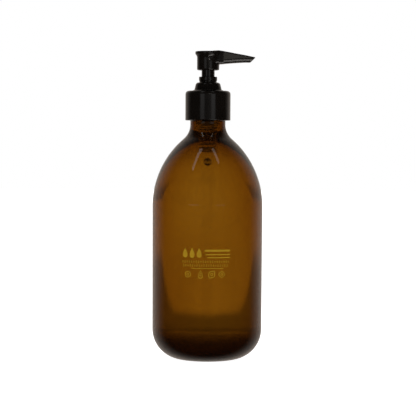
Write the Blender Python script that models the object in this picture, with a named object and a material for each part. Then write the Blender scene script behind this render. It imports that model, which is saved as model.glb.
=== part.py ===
"""Soap pump dispenser: an amber glass bottle with a screw-on lotion pump, built as an assembly.

Metres, +Z up. The bottle stands on z = 0 with its axis on Z, which is also the axis of every
joint, and the nozzle points along +X. Outlines are (radius, height) points in millimetres.
"""

import math

import bmesh
import bpy
from mathutils import Matrix, Vector

MM = 0.001
WELD = 1e-7          # m, points closer than this are one point
SMOOTH_ANGLE = 35    # degrees, sharper edges stay crisp

# Clearances between neighbouring pieces.
SEAT = 0.2           # faces that rest on each other
SLIDE = 0.15         # pieces that slide in each other

# Number of flat sides round each turned piece.
BOTTLE_SIDES = 44
CLOSURE_SIDES = 36
PUMP_SIDES = 28

# Bottle: glass, 75 mm across, with a 28 mm screw finish.
BODY_R = 37.5
FOOT_R = 37.25
HEEL_R = 20.3
SHOULDER_Z = 104.0
SHOULDER_R = 61.0
NECK_R = 11.95
NECK_FILLET_R = 13.0
WALL = 2.95
BASE_WALL = 5.5
PUNT = 2.4
BEARING_RING_R = 13.6
BEAD_R = 13.2
BEAD_Z = 163.0
FINISH_R = 12.4
LIP_Z = 177.6

# Screw thread of the finish and the collar: right-handed, 6 turns to the inch.
THREAD_LEAD = 25.4 / 6
THREAD_TURNS = 1.5
THREAD_START_Z = 168.6
THREAD_DEPTH = 1.25
THREAD_SIDES = 32

# Collar: the screw closure.
COLLAR_R = 15.35
COLLAR_BORE_R = 14.0
COLLAR_BOTTOM_Z = 162.7
COLLAR_TOP_Z = 182.7
COLLAR_EDGE_R = 2.2
COLLAR_HOLE_R = 9.6
COLLAR_ROOF_Z = 181.4

# Stack between the lip and the collar's roof.
GASKET_Z = LIP_Z + SEAT
GASKET_H = 1.0
FLANGE_Z = GASKET_Z + GASKET_H + SEAT
FLANGE_H = 1.2
FLANGE_R = 12.4
CHAPLET_FLANGE_Z = FLANGE_Z + FLANGE_H + SEAT

# Chaplet: bell ring that holds the pump in the collar and guides the stem.
CHAPLET_TOP_Z = 192.3
CHAPLET_RING_R = 6.17
BELL_R = 2.15
BELL_CENTRE = (6.4, 186.3)
BELL_FOOT_R = 9.3
SLEEVE_R = 7.0
SLEEVE_BOTTOM_Z = 172.0

# Housing: the pump cylinder.
CHAMBER_R = 6.03
CHAMBER_BOTTOM_Z = 133.8
COUNTERBORE_R = SLEEVE_R + 0.2
LEDGE_Z = 170.2
BARREL_R = 7.2
TUBE_SOCKET_Z = 127.8
TUBE_SOCKET_BOTTOM_Z = 117.4

# Stem, piston and head.
STEM_R = 4.43
STEM_BORE_R = 2.0
STEM_TOP_Z = 204.2
SHOULDER_SEAT_Z = 168.4
TENON_R = 3.2
TENON_BOTTOM_Z = 158.8
PISTON_R = CHAMBER_R - SLIDE
PISTON_TOP_Z = 170.0
HEAD_BOTTOM_Z = 196.8
HEAD_R = 7.54
HEAD_LIP_R = 8.75
HEAD_TOP_Z = 209.6
SKIRT_BORE_R = 6.55
BOSS_BOTTOM_Z = 200.9
NOZZLE_TIP_X = 31.9

# Check balls, return spring and dip tube.
BALL_R = 2.4
OUTLET_SEAT_Z = 200.3
INLET_SEAT_Z = 128.6
INLET_SEAT_R = 1.9
BALL_GAP = 0.1
RETAINER_Z = CHAMBER_BOTTOM_Z + SEAT
RETAINER_H = 2.0
SPRING_BOTTOM_Z = RETAINER_Z + RETAINER_H + SEAT
SPRING_TOP_Z = 158.1
SPRING_R = 4.3
WIRE_R = 0.5
SPRING_TURNS = 9
TUBE_R = 3.05
TUBE_BORE_R = 2.25
TUBE_BOTTOM_Z = 9.8
TUBE_TOP_Z = TUBE_SOCKET_Z - SEAT


# ---------------------------------------------------------------- materials


def finish(name, colour, roughness, metallic=0.0, transmission=0.0, ior=1.5):
    """A Principled material for one piece."""
    material = bpy.data.materials.new(name)
    material.use_nodes = True
    shader = material.node_tree.nodes["Principled BSDF"]
    shader.inputs["Base Color"].default_value = (*colour, 1.0)
    shader.inputs["Roughness"].default_value = roughness
    shader.inputs["Metallic"].default_value = metallic
    shader.inputs["Transmission Weight"].default_value = transmission
    shader.inputs["IOR"].default_value = ior
    return material


def amber_glass(name):
    return finish(name, (0.42, 0.17, 0.02), 0.03, transmission=1.0, ior=1.52)


def black_plastic(name):
    return finish(name, (0.008, 0.008, 0.008), 0.28)


def natural_plastic(name):
    return finish(name, (0.78, 0.77, 0.72), 0.35, transmission=0.4)


def foam(name):
    return finish(name, (0.8, 0.8, 0.78), 0.7)


def steel(name):
    return finish(name, (0.62, 0.61, 0.59), 0.22, metallic=1.0)


# ---------------------------------------------------------------- shape helpers


def arc(centre, radius, start, end, steps):
    """Points along an arc in the outline's plane, from start to end in degrees."""
    angles = [math.radians(start + (end - start) * i / steps) for i in range(steps + 1)]
    return [(centre[0] + radius * math.cos(a), centre[1] + radius * math.sin(a)) for a in angles]


def add_object(name, shape, material=None, seat=0.0, parent=None):
    """Puts a finished bmesh in the scene, with the object's origin on the axis at the seat."""
    bmesh.ops.remove_doubles(shape, verts=shape.verts, dist=WELD)
    bmesh.ops.recalc_face_normals(shape, faces=shape.faces)
    bmesh.ops.translate(shape, verts=shape.verts, vec=(0, 0, -seat * MM))
    mesh = bpy.data.meshes.new(name)
    shape.to_mesh(mesh)
    shape.free()
    mesh.shade_smooth()
    mesh.set_sharp_from_angle(angle=math.radians(SMOOTH_ANGLE))
    piece = bpy.data.objects.new(name, mesh)
    piece.location.z = seat * MM
    bpy.context.scene.collection.objects.link(piece)
    if material:
        mesh.materials.append(material)
    if parent:
        piece.parent = parent
        piece.location -= parent.matrix_world.translation
    return piece


def lathe(outline, sides):
    """Spins a closed outline round Z. An edge that lies on the axis makes no face."""
    shape = bmesh.new()
    points = [shape.verts.new((r * MM, 0, z * MM)) for r, z in outline]
    edges = []
    for a, b in zip(points, points[1:] + points[:1]):
        if a.co.x > WELD or b.co.x > WELD:
            edges.append(shape.edges.new((a, b)))
    bmesh.ops.spin(
        shape, geom=points + edges, cent=(0, 0, 0), axis=(0, 0, 1),
        angle=2 * math.pi, steps=sides, use_merge=True,
    )
    return shape


def turned(name, outline, material=None, sides=PUMP_SIDES, seat=0.0, parent=None):
    """One solid of revolution about Z."""
    return add_object(name, lathe(outline, sides), material, seat, parent)


def tool(shape_object):
    """Marks an object as a cutter or a joined shape, which isn't a piece itself."""
    shape_object.hide_render = True
    shape_object.display_type = "WIRE"
    return shape_object


def boolean(target, other, operation):
    """Adds a live Boolean of another shape to the target."""
    modifier = target.modifiers.new(other.name, "BOOLEAN")
    modifier.operation = operation
    modifier.solver = "EXACT"
    modifier.object = tool(other)


def rod(name, start, end, start_r, end_r, sides):
    """A tapered rod between two points in millimetres, used as a cutter."""
    start, end = Vector(start) * MM, Vector(end) * MM
    turn = (end - start).to_track_quat("Z", "Y").to_matrix().to_4x4()
    shape = bmesh.new()
    bmesh.ops.create_cone(
        shape, cap_ends=True, segments=sides, radius1=start_r * MM, radius2=end_r * MM,
        depth=(end - start).length, matrix=Matrix.Translation((start + end) / 2) @ turn,
    )
    return add_object(name, shape)


def skin(shape, rings):
    """Closes a chain of point rings into one solid: quads between rings, a cap at each end."""
    rows = [[shape.verts.new(point) for point in ring] for ring in rings]
    for low, high in zip(rows, rows[1:]):
        for i in range(len(low)):
            j = (i + 1) % len(low)
            shape.faces.new((low[i], low[j], high[j], high[i]))
    shape.faces.new(rows[0][::-1])
    shape.faces.new(rows[-1])
    return shape


def thread_ridge(name, wall_r, crest_r, start_z, foot_half, crest_half):
    """A helical ridge with run-out ends. Its foot is sunk into the wall it stands on."""
    count = int(THREAD_TURNS * THREAD_SIDES)
    run_out = THREAD_SIDES // 8
    sink = math.copysign(0.4, wall_r - crest_r)
    rings = []
    for i in range(count + 1):
        rise = min(1.0, (min(i, count - i) + 0.5) / run_out)
        crest = wall_r + (crest_r - wall_r) * rise
        turn = 2 * math.pi * i / THREAD_SIDES
        z = start_z + THREAD_LEAD * i / THREAD_SIDES
        section = (
            (wall_r + sink, z - foot_half), (crest, z - crest_half),
            (crest, z + crest_half), (wall_r + sink, z + foot_half),
        )
        rings.append([
            (r * math.cos(turn) * MM, r * math.sin(turn) * MM, height * MM)
            for r, height in section
        ])
    return add_object(name, skin(bmesh.new(), rings))


def carrier(name, height, parent=None):
    """An empty on the axis that a moving group hangs from."""
    holder = bpy.data.objects.new(name, None)
    holder.empty_display_size = 10 * MM
    bpy.context.scene.collection.objects.link(holder)
    holder.location = (0, 0, height * MM)
    if parent:
        holder.parent = parent
        holder.location -= parent.matrix_world.translation
    bpy.context.view_layer.update()
    return holder


# ---------------------------------------------------------------- bottle and closure


def bottle():
    """Blown glass bottle: punt and bearing ring, round heel, arched shoulder, screw finish.

    The shoulder arc and the neck fillet touch where the line between their centres crosses.
    """
    shoulder = (BODY_R - SHOULDER_R, SHOULDER_Z)
    fillet_x = NECK_R + NECK_FILLET_R
    rise = math.sqrt((SHOULDER_R + NECK_FILLET_R) ** 2 - (fillet_x - shoulder[0]) ** 2)
    fillet = (fillet_x, SHOULDER_Z + rise)
    lean = math.degrees(math.atan2(rise, fillet_x - shoulder[0]))
    heel = (FOOT_R - HEEL_R, HEEL_R)
    inner_heel_r = HEEL_R - WALL - 1.35
    inner_heel = (FOOT_R - WALL - inner_heel_r, BASE_WALL + inner_heel_r)
    bore_r = NECK_R - WALL

    outline = [(0, PUNT), (BEARING_RING_R * 0.6, PUNT * 0.8), (BEARING_RING_R, 0)]
    outline += arc(heel, HEEL_R, -90, 0, 7)
    outline += arc(shoulder, SHOULDER_R, 0, lean, 8)
    outline += arc(fillet, NECK_FILLET_R, 180 + lean, 180, 4)[1:]
    outline += [
        (NECK_R, BEAD_Z - 0.6), (BEAD_R, BEAD_Z + 0.5), (BEAD_R, BEAD_Z + 1.7),
        (FINISH_R, BEAD_Z + 2.5), (FINISH_R, LIP_Z - 0.8), (FINISH_R - 0.7, LIP_Z),
        (bore_r + 0.5, LIP_Z), (bore_r, LIP_Z - 0.5),
    ]
    outline += arc(fillet, NECK_FILLET_R + WALL, 180, 180 + lean, 4)
    outline += arc(shoulder, SHOULDER_R - WALL, lean, 0, 6)[1:]
    outline += arc(inner_heel, inner_heel_r, 0, -90, 5)
    outline += [(0, BASE_WALL + 1.5)]
    glass = turned("bottle", outline, amber_glass("glass"), BOTTLE_SIDES)
    ridge = thread_ridge(
        "bottle_thread", FINISH_R, FINISH_R + THREAD_DEPTH, THREAD_START_Z, 1.3, 0.6
    )
    boolean(glass, ridge, "UNION")
    return glass


def collar(parent):
    """Smooth screw closure: straight wall, rounded top edge, hole for the chaplet."""
    edge = (COLLAR_R - COLLAR_EDGE_R, COLLAR_TOP_Z - COLLAR_EDGE_R)
    outline = [(COLLAR_BORE_R + 0.3, COLLAR_BOTTOM_Z), (COLLAR_R - 0.25, COLLAR_BOTTOM_Z)]
    outline += [(COLLAR_R, COLLAR_BOTTOM_Z + 0.3)]
    outline += arc(edge, COLLAR_EDGE_R, 0, 90, 5)
    outline += [
        (COLLAR_HOLE_R + 0.3, COLLAR_TOP_Z + 0.6), (COLLAR_HOLE_R, COLLAR_TOP_Z + 0.3),
        (COLLAR_HOLE_R, COLLAR_ROOF_Z), (COLLAR_BORE_R, COLLAR_ROOF_Z),
        (COLLAR_BORE_R, COLLAR_BOTTOM_Z + 0.4),
    ]
    closure = turned(
        "collar", outline, black_plastic("collar_black"), CLOSURE_SIDES,
        COLLAR_BOTTOM_Z, parent,
    )
    below_bottle_ridge = THREAD_LEAD / 2 - 0.4
    ridge = thread_ridge(
        "collar_thread", COLLAR_BORE_R, COLLAR_BORE_R - THREAD_DEPTH,
        THREAD_START_Z - below_bottle_ridge, 0.75, 0.35,
    )
    boolean(closure, ridge, "UNION")
    return closure


def bottle_gasket(parent):
    """Flat foam ring on the bottle's lip."""
    inner = BARREL_R + 1.35
    top = GASKET_Z + GASKET_H
    outline = [(inner, GASKET_Z), (FLANGE_R, GASKET_Z), (FLANGE_R, top), (inner, top)]
    return turned("bottle_gasket", outline, foam("foam"), CLOSURE_SIDES, GASKET_Z, parent)


def chaplet(parent):
    """Bell ring: flange under the collar's roof, hollow bell, guide bore and long sleeve."""
    bore = STEM_R + 0.22
    low = CHAPLET_FLANGE_Z
    outline = [
        (bore + 0.65, CHAPLET_TOP_Z), (CHAPLET_RING_R - 0.3, CHAPLET_TOP_Z),
        (CHAPLET_RING_R, CHAPLET_TOP_Z - 0.3), (CHAPLET_RING_R, CHAPLET_TOP_Z - 2.5),
        (CHAPLET_RING_R - 0.3, CHAPLET_TOP_Z - 2.8), (CHAPLET_RING_R - 0.3, BELL_CENTRE[1] + BELL_R),
    ]
    outline += arc(BELL_CENTRE, BELL_R, 90, 14, 5)
    outline += [
        (BELL_FOOT_R, COLLAR_TOP_Z + 0.5), (BELL_FOOT_R, low + 0.8), (FLANGE_R, low + 0.8),
        (FLANGE_R, low), (BELL_FOOT_R - 1.0, low), (BELL_FOOT_R - 1.1, 184.5), (7.4, 186.6),
        (6.3, 186.6), (6.3, low - 0.7), (SLEEVE_R, low - 1.0), (SLEEVE_R, SLEEVE_BOTTOM_Z),
        (bore, SLEEVE_BOTTOM_Z), (bore, CHAPLET_TOP_Z - 2.0), (bore + 0.65, CHAPLET_TOP_Z - 1.6),
    ]
    return turned(
        "chaplet", outline, black_plastic("chaplet_black"), CLOSURE_SIDES, low, parent
    )


# ---------------------------------------------------------------- pump inside the bottle


def housing(parent):
    """Pump cylinder: flange, counterbore, chamber, inlet seat and socket for the dip tube."""
    top = FLANGE_Z + FLANGE_H
    socket_r = TUBE_R + SLIDE
    outline = [
        (COUNTERBORE_R, top), (FLANGE_R, top), (FLANGE_R, FLANGE_Z), (BARREL_R + 1.1, FLANGE_Z),
        (BARREL_R + 1.1, LEDGE_Z), (BARREL_R, LEDGE_Z - 3), (BARREL_R, CHAMBER_BOTTOM_Z),
        (socket_r + 1.1, TUBE_SOCKET_Z + 1.7), (socket_r + 1.1, TUBE_SOCKET_BOTTOM_Z + 0.4),
        (socket_r + 0.7, TUBE_SOCKET_BOTTOM_Z), (socket_r, TUBE_SOCKET_BOTTOM_Z),
        (socket_r, TUBE_SOCKET_Z), (INLET_SEAT_R - 0.2, TUBE_SOCKET_Z), (INLET_SEAT_R, INLET_SEAT_Z),
        (3.0, INLET_SEAT_Z + 1.5), (3.0, CHAMBER_BOTTOM_Z), (CHAMBER_R, CHAMBER_BOTTOM_Z),
        (CHAMBER_R, LEDGE_Z), (COUNTERBORE_R, LEDGE_Z),
    ]
    cylinder = turned(
        "housing", outline, natural_plastic("housing_natural"), PUMP_SIDES, FLANGE_Z, parent
    )
    vent_z = SLEEVE_BOTTOM_Z + 3
    vent = rod("vent_cutter", (6.5, 0, vent_z), (10, 0, vent_z), 0.5, 0.5, 8)
    boolean(cylinder, vent, "DIFFERENCE")
    return cylinder


def stem_seal(parent):
    """Wiper ring between the chaplet's sleeve and the housing's ledge."""
    low, high = LEDGE_Z + SEAT, SLEEVE_BOTTOM_Z - SEAT
    inner = STEM_R + SLIDE
    outline = [
        (inner, low), (inner + 0.5, low), (inner + 0.9, low + 0.5), (SLEEVE_R, low),
        (SLEEVE_R, high), (inner + 0.6, high), (inner, high - 0.7),
    ]
    return turned("stem_seal", outline, natural_plastic("seal_natural"), PUMP_SIDES, low, parent)


def ball_retainer(parent):
    """Disc over the inlet ball: its middle stops the ball, its ports let the soap by."""
    low, high = RETAINER_Z, RETAINER_Z + RETAINER_H
    rim = CHAMBER_R - SLIDE
    outline = [(0, low), (rim, low), (rim, high), (3.6, high), (3.3, high - 0.8), (0, high - 0.8)]
    disc = turned(
        "ball_retainer", outline, natural_plastic("retainer_natural"), PUMP_SIDES, low, parent
    )
    for quarter in range(4):
        turn = math.radians(45 + 90 * quarter)
        x, y = 2.3 * math.cos(turn), 2.3 * math.sin(turn)
        port = rod(f"port_cutter_{quarter}", (x, y, low - 1), (x, y, high + 1), 0.9, 0.9, 10)
        boolean(disc, port, "DIFFERENCE")
    return disc


def dip_tube(parent):
    """Straight tube with a slanted foot, so that it can't seal against the base."""
    outline = [
        (TUBE_BORE_R, TUBE_BOTTOM_Z), (TUBE_R, TUBE_BOTTOM_Z),
        (TUBE_R, TUBE_TOP_Z), (TUBE_BORE_R, TUBE_TOP_Z),
    ]
    shape = lathe(outline, 20)
    slant = math.tan(math.radians(30))
    for vertex in shape.verts:
        if vertex.co.z < 2 * TUBE_BOTTOM_Z * MM:
            vertex.co.z += slant * (vertex.co.x + TUBE_R * MM)
    return add_object("dip_tube", shape, natural_plastic("tube_natural"), TUBE_TOP_Z, parent)


def spring(parent):
    """Compression spring. Each end turn lies nearly flat and the turns between are open."""
    points_per_turn = 12
    end_pitch = 2.3 * WIRE_R
    low, high = SPRING_BOTTOM_Z + WIRE_R, SPRING_TOP_Z - WIRE_R
    open_pitch = (high - low - 2 * end_pitch) / (SPRING_TURNS - 2)
    curve = bpy.data.curves.new("spring", "CURVE")
    curve.dimensions = "3D"
    curve.bevel_depth = WIRE_R * MM
    curve.bevel_resolution = 1
    curve.use_fill_caps = True
    wire = curve.splines.new("POLY")
    count = SPRING_TURNS * points_per_turn
    wire.points.add(count)
    for i, point in enumerate(wire.points):
        turns = i / points_per_turn
        middle = min(max(turns - 1, 0), SPRING_TURNS - 2)
        z = low - SPRING_BOTTOM_Z + end_pitch * (turns - middle) + open_pitch * middle
        angle = 2 * math.pi * turns
        point.co = (SPRING_R * math.cos(angle) * MM, SPRING_R * math.sin(angle) * MM, z * MM, 1)
    curve.materials.append(steel("spring_steel"))
    coil = bpy.data.objects.new("spring", curve)
    bpy.context.scene.collection.objects.link(coil)
    coil.parent = parent
    coil.location.z = SPRING_BOTTOM_Z * MM - parent.matrix_world.translation.z
    return coil


def ball(name, seat_r, seat_z, parent):
    """Check ball resting on the round edge of its seat."""
    centre_z = seat_z + math.sqrt(BALL_R ** 2 - seat_r ** 2) + BALL_GAP
    outline = arc((0, centre_z), BALL_R, -90, 90, 8)
    return turned(name, outline, steel(name + "_steel"), 14, centre_z, parent)


# ---------------------------------------------------------------- moving pieces


def piston(parent):
    """Double-lipped piston, turning freely on the stem's tenon."""
    bore = TENON_R + SLIDE
    lip = PISTON_R
    outline = [
        (lip, 170.0), (lip - 0.5, PISTON_TOP_Z), (4.65, 169.6), (4.65, SHOULDER_SEAT_Z - SEAT),
        (bore, SHOULDER_SEAT_Z - SEAT), (bore, 161.3), (4.6, 161.3), (lip - 0.5, 160.2),
        (lip, 160.2), (lip, 161.4), (lip - 0.7, 163.0), (lip - 0.7, 167.4), (lip, 168.8),
    ]
    return turned("piston", outline, natural_plastic("piston_natural"), PUMP_SIDES, 161.3, parent)


def piston_retainer(parent):
    """Ring on the tenon's end: holds the piston up against the stem, the spring pushes on it."""
    bore = TENON_R + SLIDE
    outline = [
        (2.3, SPRING_TOP_Z + SEAT), (5.2, SPRING_TOP_Z + SEAT), (5.2, 159.9), (4.35, 160.0),
        (4.35, 161.1), (bore, 161.1), (bore, TENON_BOTTOM_Z - SLIDE), (2.3, TENON_BOTTOM_Z - SLIDE),
    ]
    return turned(
        "piston_retainer", outline, natural_plastic("piston_ring_natural"), PUMP_SIDES,
        SPRING_TOP_Z + SEAT, parent,
    )


def stem(parent):
    """Hollow piston rod: shoulder and tenon below, outlet seat and ball pocket on top."""
    pocket = 2.75
    outline = [
        (STEM_BORE_R, TENON_BOTTOM_Z), (TENON_R, TENON_BOTTOM_Z), (TENON_R, SHOULDER_SEAT_Z),
        (STEM_R, SHOULDER_SEAT_Z), (STEM_R, STEM_TOP_Z - 0.4), (STEM_R - 0.4, STEM_TOP_Z),
        (pocket, STEM_TOP_Z), (pocket, OUTLET_SEAT_Z + 1.1), (STEM_BORE_R, OUTLET_SEAT_Z),
    ]
    return turned("stem", outline, black_plastic("stem_black"), PUMP_SIDES, SHOULDER_SEAT_Z, parent)


def nozzle_section(x, bottom, top, half_width, lean):
    """A rounded rectangle across the nozzle. Lean slants it, so the tip is cut at an angle."""
    steps, power = 16, 0.45
    points = []
    for i in range(steps):
        angle = 2 * math.pi * (i + 0.5) / steps
        across, up = math.cos(angle), math.sin(angle)
        y = half_width * math.copysign(abs(across) ** power, across)
        z = (top + bottom) / 2 + (top - bottom) / 2 * math.copysign(abs(up) ** power, up)
        points.append(((x - lean * (top - z)) * MM, y * MM, z * MM))
    return points


def actuator_head(parent):
    """Head: skirted body with a flared thumb edge, tapering nozzle, socket and soap channel."""
    body = [(0, HEAD_BOTTOM_Z), (HEAD_R - 0.9, HEAD_BOTTOM_Z)]
    body += arc((HEAD_R - 0.9, HEAD_BOTTOM_Z + 0.9), 0.9, -90, 0, 3)[1:]
    body += arc((HEAD_R + 3.6, HEAD_TOP_Z - 4.6), 3.6, 180, 131, 4)
    body += [
        (HEAD_LIP_R, HEAD_TOP_Z - 1.3), (HEAD_LIP_R - 0.1, HEAD_TOP_Z - 0.5),
        (HEAD_LIP_R - 0.6, HEAD_TOP_Z), (6.5, HEAD_TOP_Z - 0.1), (0, HEAD_TOP_Z - 0.5),
    ]
    head = turned(
        "actuator_head", body, black_plastic("head_black"), 36, HEAD_BOTTOM_Z, parent
    )

    stations = (
        (0.0, 203.6, 208.8, 6.3, 0.0),
        (4.0, 202.0, 209.8, 6.2, 0.0),
        (7.2, 200.8, 210.0, 5.5, 0.0),
        (9.6, 200.9, 209.8, 4.8, 0.0),
        (12.0, 201.2, 209.3, 4.4, 0.0),
        (18.0, 201.5, 208.0, 3.9, 0.2),
        (NOZZLE_TIP_X, 201.3, 204.9, 2.7, 1.0),
    )
    rings = [nozzle_section(*station) for station in stations]
    nozzle = add_object("nozzle_solid", skin(bmesh.new(), rings))
    boolean(head, nozzle, "UNION")

    socket_r, ceiling = STEM_R + SLIDE, 203.0
    hollow = [
        (0, HEAD_BOTTOM_Z - 1), (SKIRT_BORE_R, HEAD_BOTTOM_Z - 1), (SKIRT_BORE_R, ceiling),
        (5.6, ceiling), (5.6, BOSS_BOTTOM_Z), (socket_r, BOSS_BOTTOM_Z),
        (socket_r, STEM_TOP_Z + SEAT), (2.9, STEM_TOP_Z + SEAT), (2.9, 207.5), (1.0, 207.5),
        (1.0, 205.7), (0, 205.7),
    ]
    boolean(head, turned("skirt_cutter", hollow, sides=PUMP_SIDES), "DIFFERENCE")
    channel = rod("channel_cutter", (2.0, 0, 206.2), (34.0, 0, 203.0), 1.3, 1.05, 12)
    boolean(head, channel, "DIFFERENCE")
    return head


def main():
    """Builds the whole dispenser, each moving group under an empty on the axis."""
    for old in list(bpy.data.objects):
        bpy.data.objects.remove(old, do_unlink=True)

    bottle()
    pump = carrier("pump_axis", LIP_Z)
    bottle_gasket(pump)
    chaplet(pump)
    housing(pump)
    stem_seal(pump)
    ball_retainer(pump)
    dip_tube(pump)
    spring(pump)
    ball("inlet_ball", INLET_SEAT_R, INLET_SEAT_Z, pump)
    collar(carrier("collar_axis", COLLAR_BOTTOM_Z, pump))

    stroke = carrier("stroke_axis", SHOULDER_SEAT_Z, pump)
    piston(stroke)
    swivel = carrier("swivel_axis", HEAD_BOTTOM_Z, stroke)
    piston_retainer(swivel)
    stem(swivel)
    actuator_head(swivel)
    ball("outlet_ball", STEM_BORE_R, OUTLET_SEAT_Z, swivel)


main()
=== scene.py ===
"""Finished look of a soap pump dispenser: amber glass bottle, screw collar and lotion pump.

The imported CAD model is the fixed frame. Each visible piece is a fine surface worked out on a
grid, has its own finish, and rides on the body that its CAD solid belongs to. Sizes are in
millimetres on the frame's axes: the bottle stands on z = 0, Z is the axis of the bottle and of
the pump, and the nozzle points along +X at rest.
"""

import logging
import math
from collections.abc import Callable, Sequence
from dataclasses import dataclass
from enum import Enum

import bpy
import numpy as np
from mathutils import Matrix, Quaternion, Vector

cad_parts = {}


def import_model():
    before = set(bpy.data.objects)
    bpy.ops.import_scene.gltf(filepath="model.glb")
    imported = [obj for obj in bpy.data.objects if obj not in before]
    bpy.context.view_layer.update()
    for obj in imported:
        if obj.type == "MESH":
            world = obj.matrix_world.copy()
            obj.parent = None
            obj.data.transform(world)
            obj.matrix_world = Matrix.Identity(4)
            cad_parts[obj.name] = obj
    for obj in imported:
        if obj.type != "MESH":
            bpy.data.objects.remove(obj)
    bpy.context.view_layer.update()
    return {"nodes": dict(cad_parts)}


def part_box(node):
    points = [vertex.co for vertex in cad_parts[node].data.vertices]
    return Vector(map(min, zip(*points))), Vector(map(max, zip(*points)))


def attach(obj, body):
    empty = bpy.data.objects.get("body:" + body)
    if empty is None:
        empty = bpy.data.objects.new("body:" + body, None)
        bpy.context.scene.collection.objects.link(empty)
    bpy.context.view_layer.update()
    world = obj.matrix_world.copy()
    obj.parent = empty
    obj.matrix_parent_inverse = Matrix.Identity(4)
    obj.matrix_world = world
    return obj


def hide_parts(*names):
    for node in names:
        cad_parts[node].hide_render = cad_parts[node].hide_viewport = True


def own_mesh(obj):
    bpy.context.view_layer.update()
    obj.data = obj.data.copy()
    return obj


MM = 0.001
SHARP_EDGE = math.radians(38)
ON_AXIS = 1e-6
Array = np.ndarray
Corner = tuple[float, ...]
Piece = bpy.types.Object
Tree = bpy.types.NodeTree
Socket = bpy.types.NodeSocket
Material = bpy.types.Material
log = logging.getLogger("dispenser")


class Body(Enum):
    """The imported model's bodies, which the pieces ride on."""

    BOTTLE = "bottle_body"
    PUMP = "pump_body"
    COLLAR = "collar_body"
    PISTON = "piston_body"
    HEAD = "head_body"
    OUTLET_BALL = "outlet_ball_body"
    INLET_BALL = "inlet_ball_body"


class Slot(Enum):
    """The record's material slots."""

    GLASS = "amber_glass"
    BLACK = "black_plastic"
    NATURAL = "natural_plastic"
    FOAM = "white_foam"
    STEEL = "stainless_steel"


# ---------------------------------------------------------------- outlines


def arc(centre: Corner, radius: float, start: float, end: float, steps: int = 12) -> list[Corner]:
    """Points on an arc: centre + radius * (cos a, sin a) as a goes from start to end.

    Args:
        centre: Radius and height of the arc's centre.
        radius: Radius of the arc.
        start: First angle in degrees.
        end: Last angle in degrees.
        steps: Number of chords.

    Returns:
        The points as (radius, height) pairs.
    """
    angle = np.radians(np.linspace(start, end, steps + 1))
    across, up = centre[0] + radius * np.cos(angle), centre[1] + radius * np.sin(angle)
    return list(zip(across.tolist(), up.tolist()))


def rounded(corners: Sequence[Corner], steps: int = 4) -> Array:
    """A closed outline with its sharp corners rounded.

    A corner given as (radius, height, rounding) becomes the arc that touches both its sides. The
    arc starts rounding * tan(turn / 2) before the corner and turns by the corner's own angle.

    Args:
        corners: (radius, height) or (radius, height, rounding) for each corner, in order.
        steps: Number of chords in each rounding.

    Returns:
        The outline's points, one row each.
    """
    point = np.array([corner[:2] for corner in corners], float)
    ahead = np.roll(point, -1, axis=0) - point
    ahead /= np.linalg.norm(ahead, axis=1)[:, None]
    behind = np.roll(ahead, 1, axis=0)
    turn = np.arctan2(
        behind[:, 0] * ahead[:, 1] - behind[:, 1] * ahead[:, 0], (behind * ahead).sum(axis=1)
    )
    path = []
    for here, back, angle, corner in zip(point, behind, turn, corners):
        if len(corner) < 3:
            path.append(here[None])
            continue
        start = here - back * corner[2] * math.tan(abs(angle) / 2)
        spoke = math.copysign(corner[2], angle) * np.array((back[1], -back[0]))
        sweep = np.linspace(0, angle, steps + 1)[:, None]
        swung = np.hstack((
            spoke[0] * np.cos(sweep) - spoke[1] * np.sin(sweep),
            spoke[0] * np.sin(sweep) + spoke[1] * np.cos(sweep),
        ))
        path.append(start - spoke + swung)
    return np.concatenate(path)


def divided(path: Array, spacing: float, loop: bool) -> Array:
    """The path with points added along its straight stretches.

    Args:
        path: The outline's points.
        spacing: Longest stretch that is left between two points.
        loop: Whether the last point joins the first.

    Returns:
        The finer outline.
    """
    end = np.roll(path, -1, axis=0)
    stretches = []
    for start, stop in zip(path, end):
        count = max(1, math.ceil(np.linalg.norm(stop - start) / spacing))
        stretches.append(start + (stop - start) * np.arange(count)[:, None] / count)
    if not loop:
        stretches[-1] = path[-1:]
    return np.concatenate(stretches)


# ---------------------------------------------------------------- surfaces


def weave(grid: Array, loop: bool) -> tuple[Array, Array]:
    """Points and four-cornered faces of a grid whose columns close round.

    Args:
        grid: Points by row and column.
        loop: Whether the last row joins the first. If not, each of these two rows is a pole.

    Returns:
        The points, and the faces as indices. A face at a pole has one index twice.
    """
    rows, columns = grid.shape[:2]
    index = np.arange(rows * columns).reshape(rows, columns)
    if loop:
        index = np.vstack((index, index[:1]))
    else:
        index[0], index[-1] = index[0, 0], index[-1, 0]
    beside = np.roll(index, -1, axis=1)
    faces = np.stack((index[:-1], beside[:-1], beside[1:], index[1:]), axis=-1)
    return grid.reshape(-1, 3), faces.reshape(-1, 4)


def make_piece(name: str, *parts: tuple[Array, Array]) -> Piece:
    """One smooth-shaded object from one or more sets of points and faces.

    Args:
        name: Name of the piece.
        parts: Points in millimetres with their faces, as weave gives them.

    Returns:
        The object, at the origin, with its place in its mesh.
    """
    offset = np.cumsum([0] + [len(points) for points, _ in parts])
    points = np.concatenate([part[0] for part in parts]) * MM
    faces = np.concatenate([part[1] + first for part, first in zip(parts, offset)])
    used, faces = np.unique(faces, return_inverse=True)
    faces = faces.reshape(-1, 4)
    low_pole = faces[:, 0] == faces[:, 1]
    high_pole = faces[:, 2] == faces[:, 3]
    polygons = faces[~(low_pole | high_pole)].tolist()
    polygons += faces[low_pole][:, (0, 2, 3)].tolist() + faces[high_pole][:, :3].tolist()
    mesh = bpy.data.meshes.new(name)
    mesh.from_pydata(points[used].tolist(), [], polygons)
    mesh.shade_smooth()
    mesh.set_sharp_from_angle(angle=SHARP_EDGE)
    piece = bpy.data.objects.new(name, mesh)
    bpy.context.scene.collection.objects.link(piece)
    return piece


def even_angles(sides: int) -> Array:
    """Angles of a full turn in equal steps, in radians."""
    return np.arange(sides) * 2 * np.pi / sides


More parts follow.
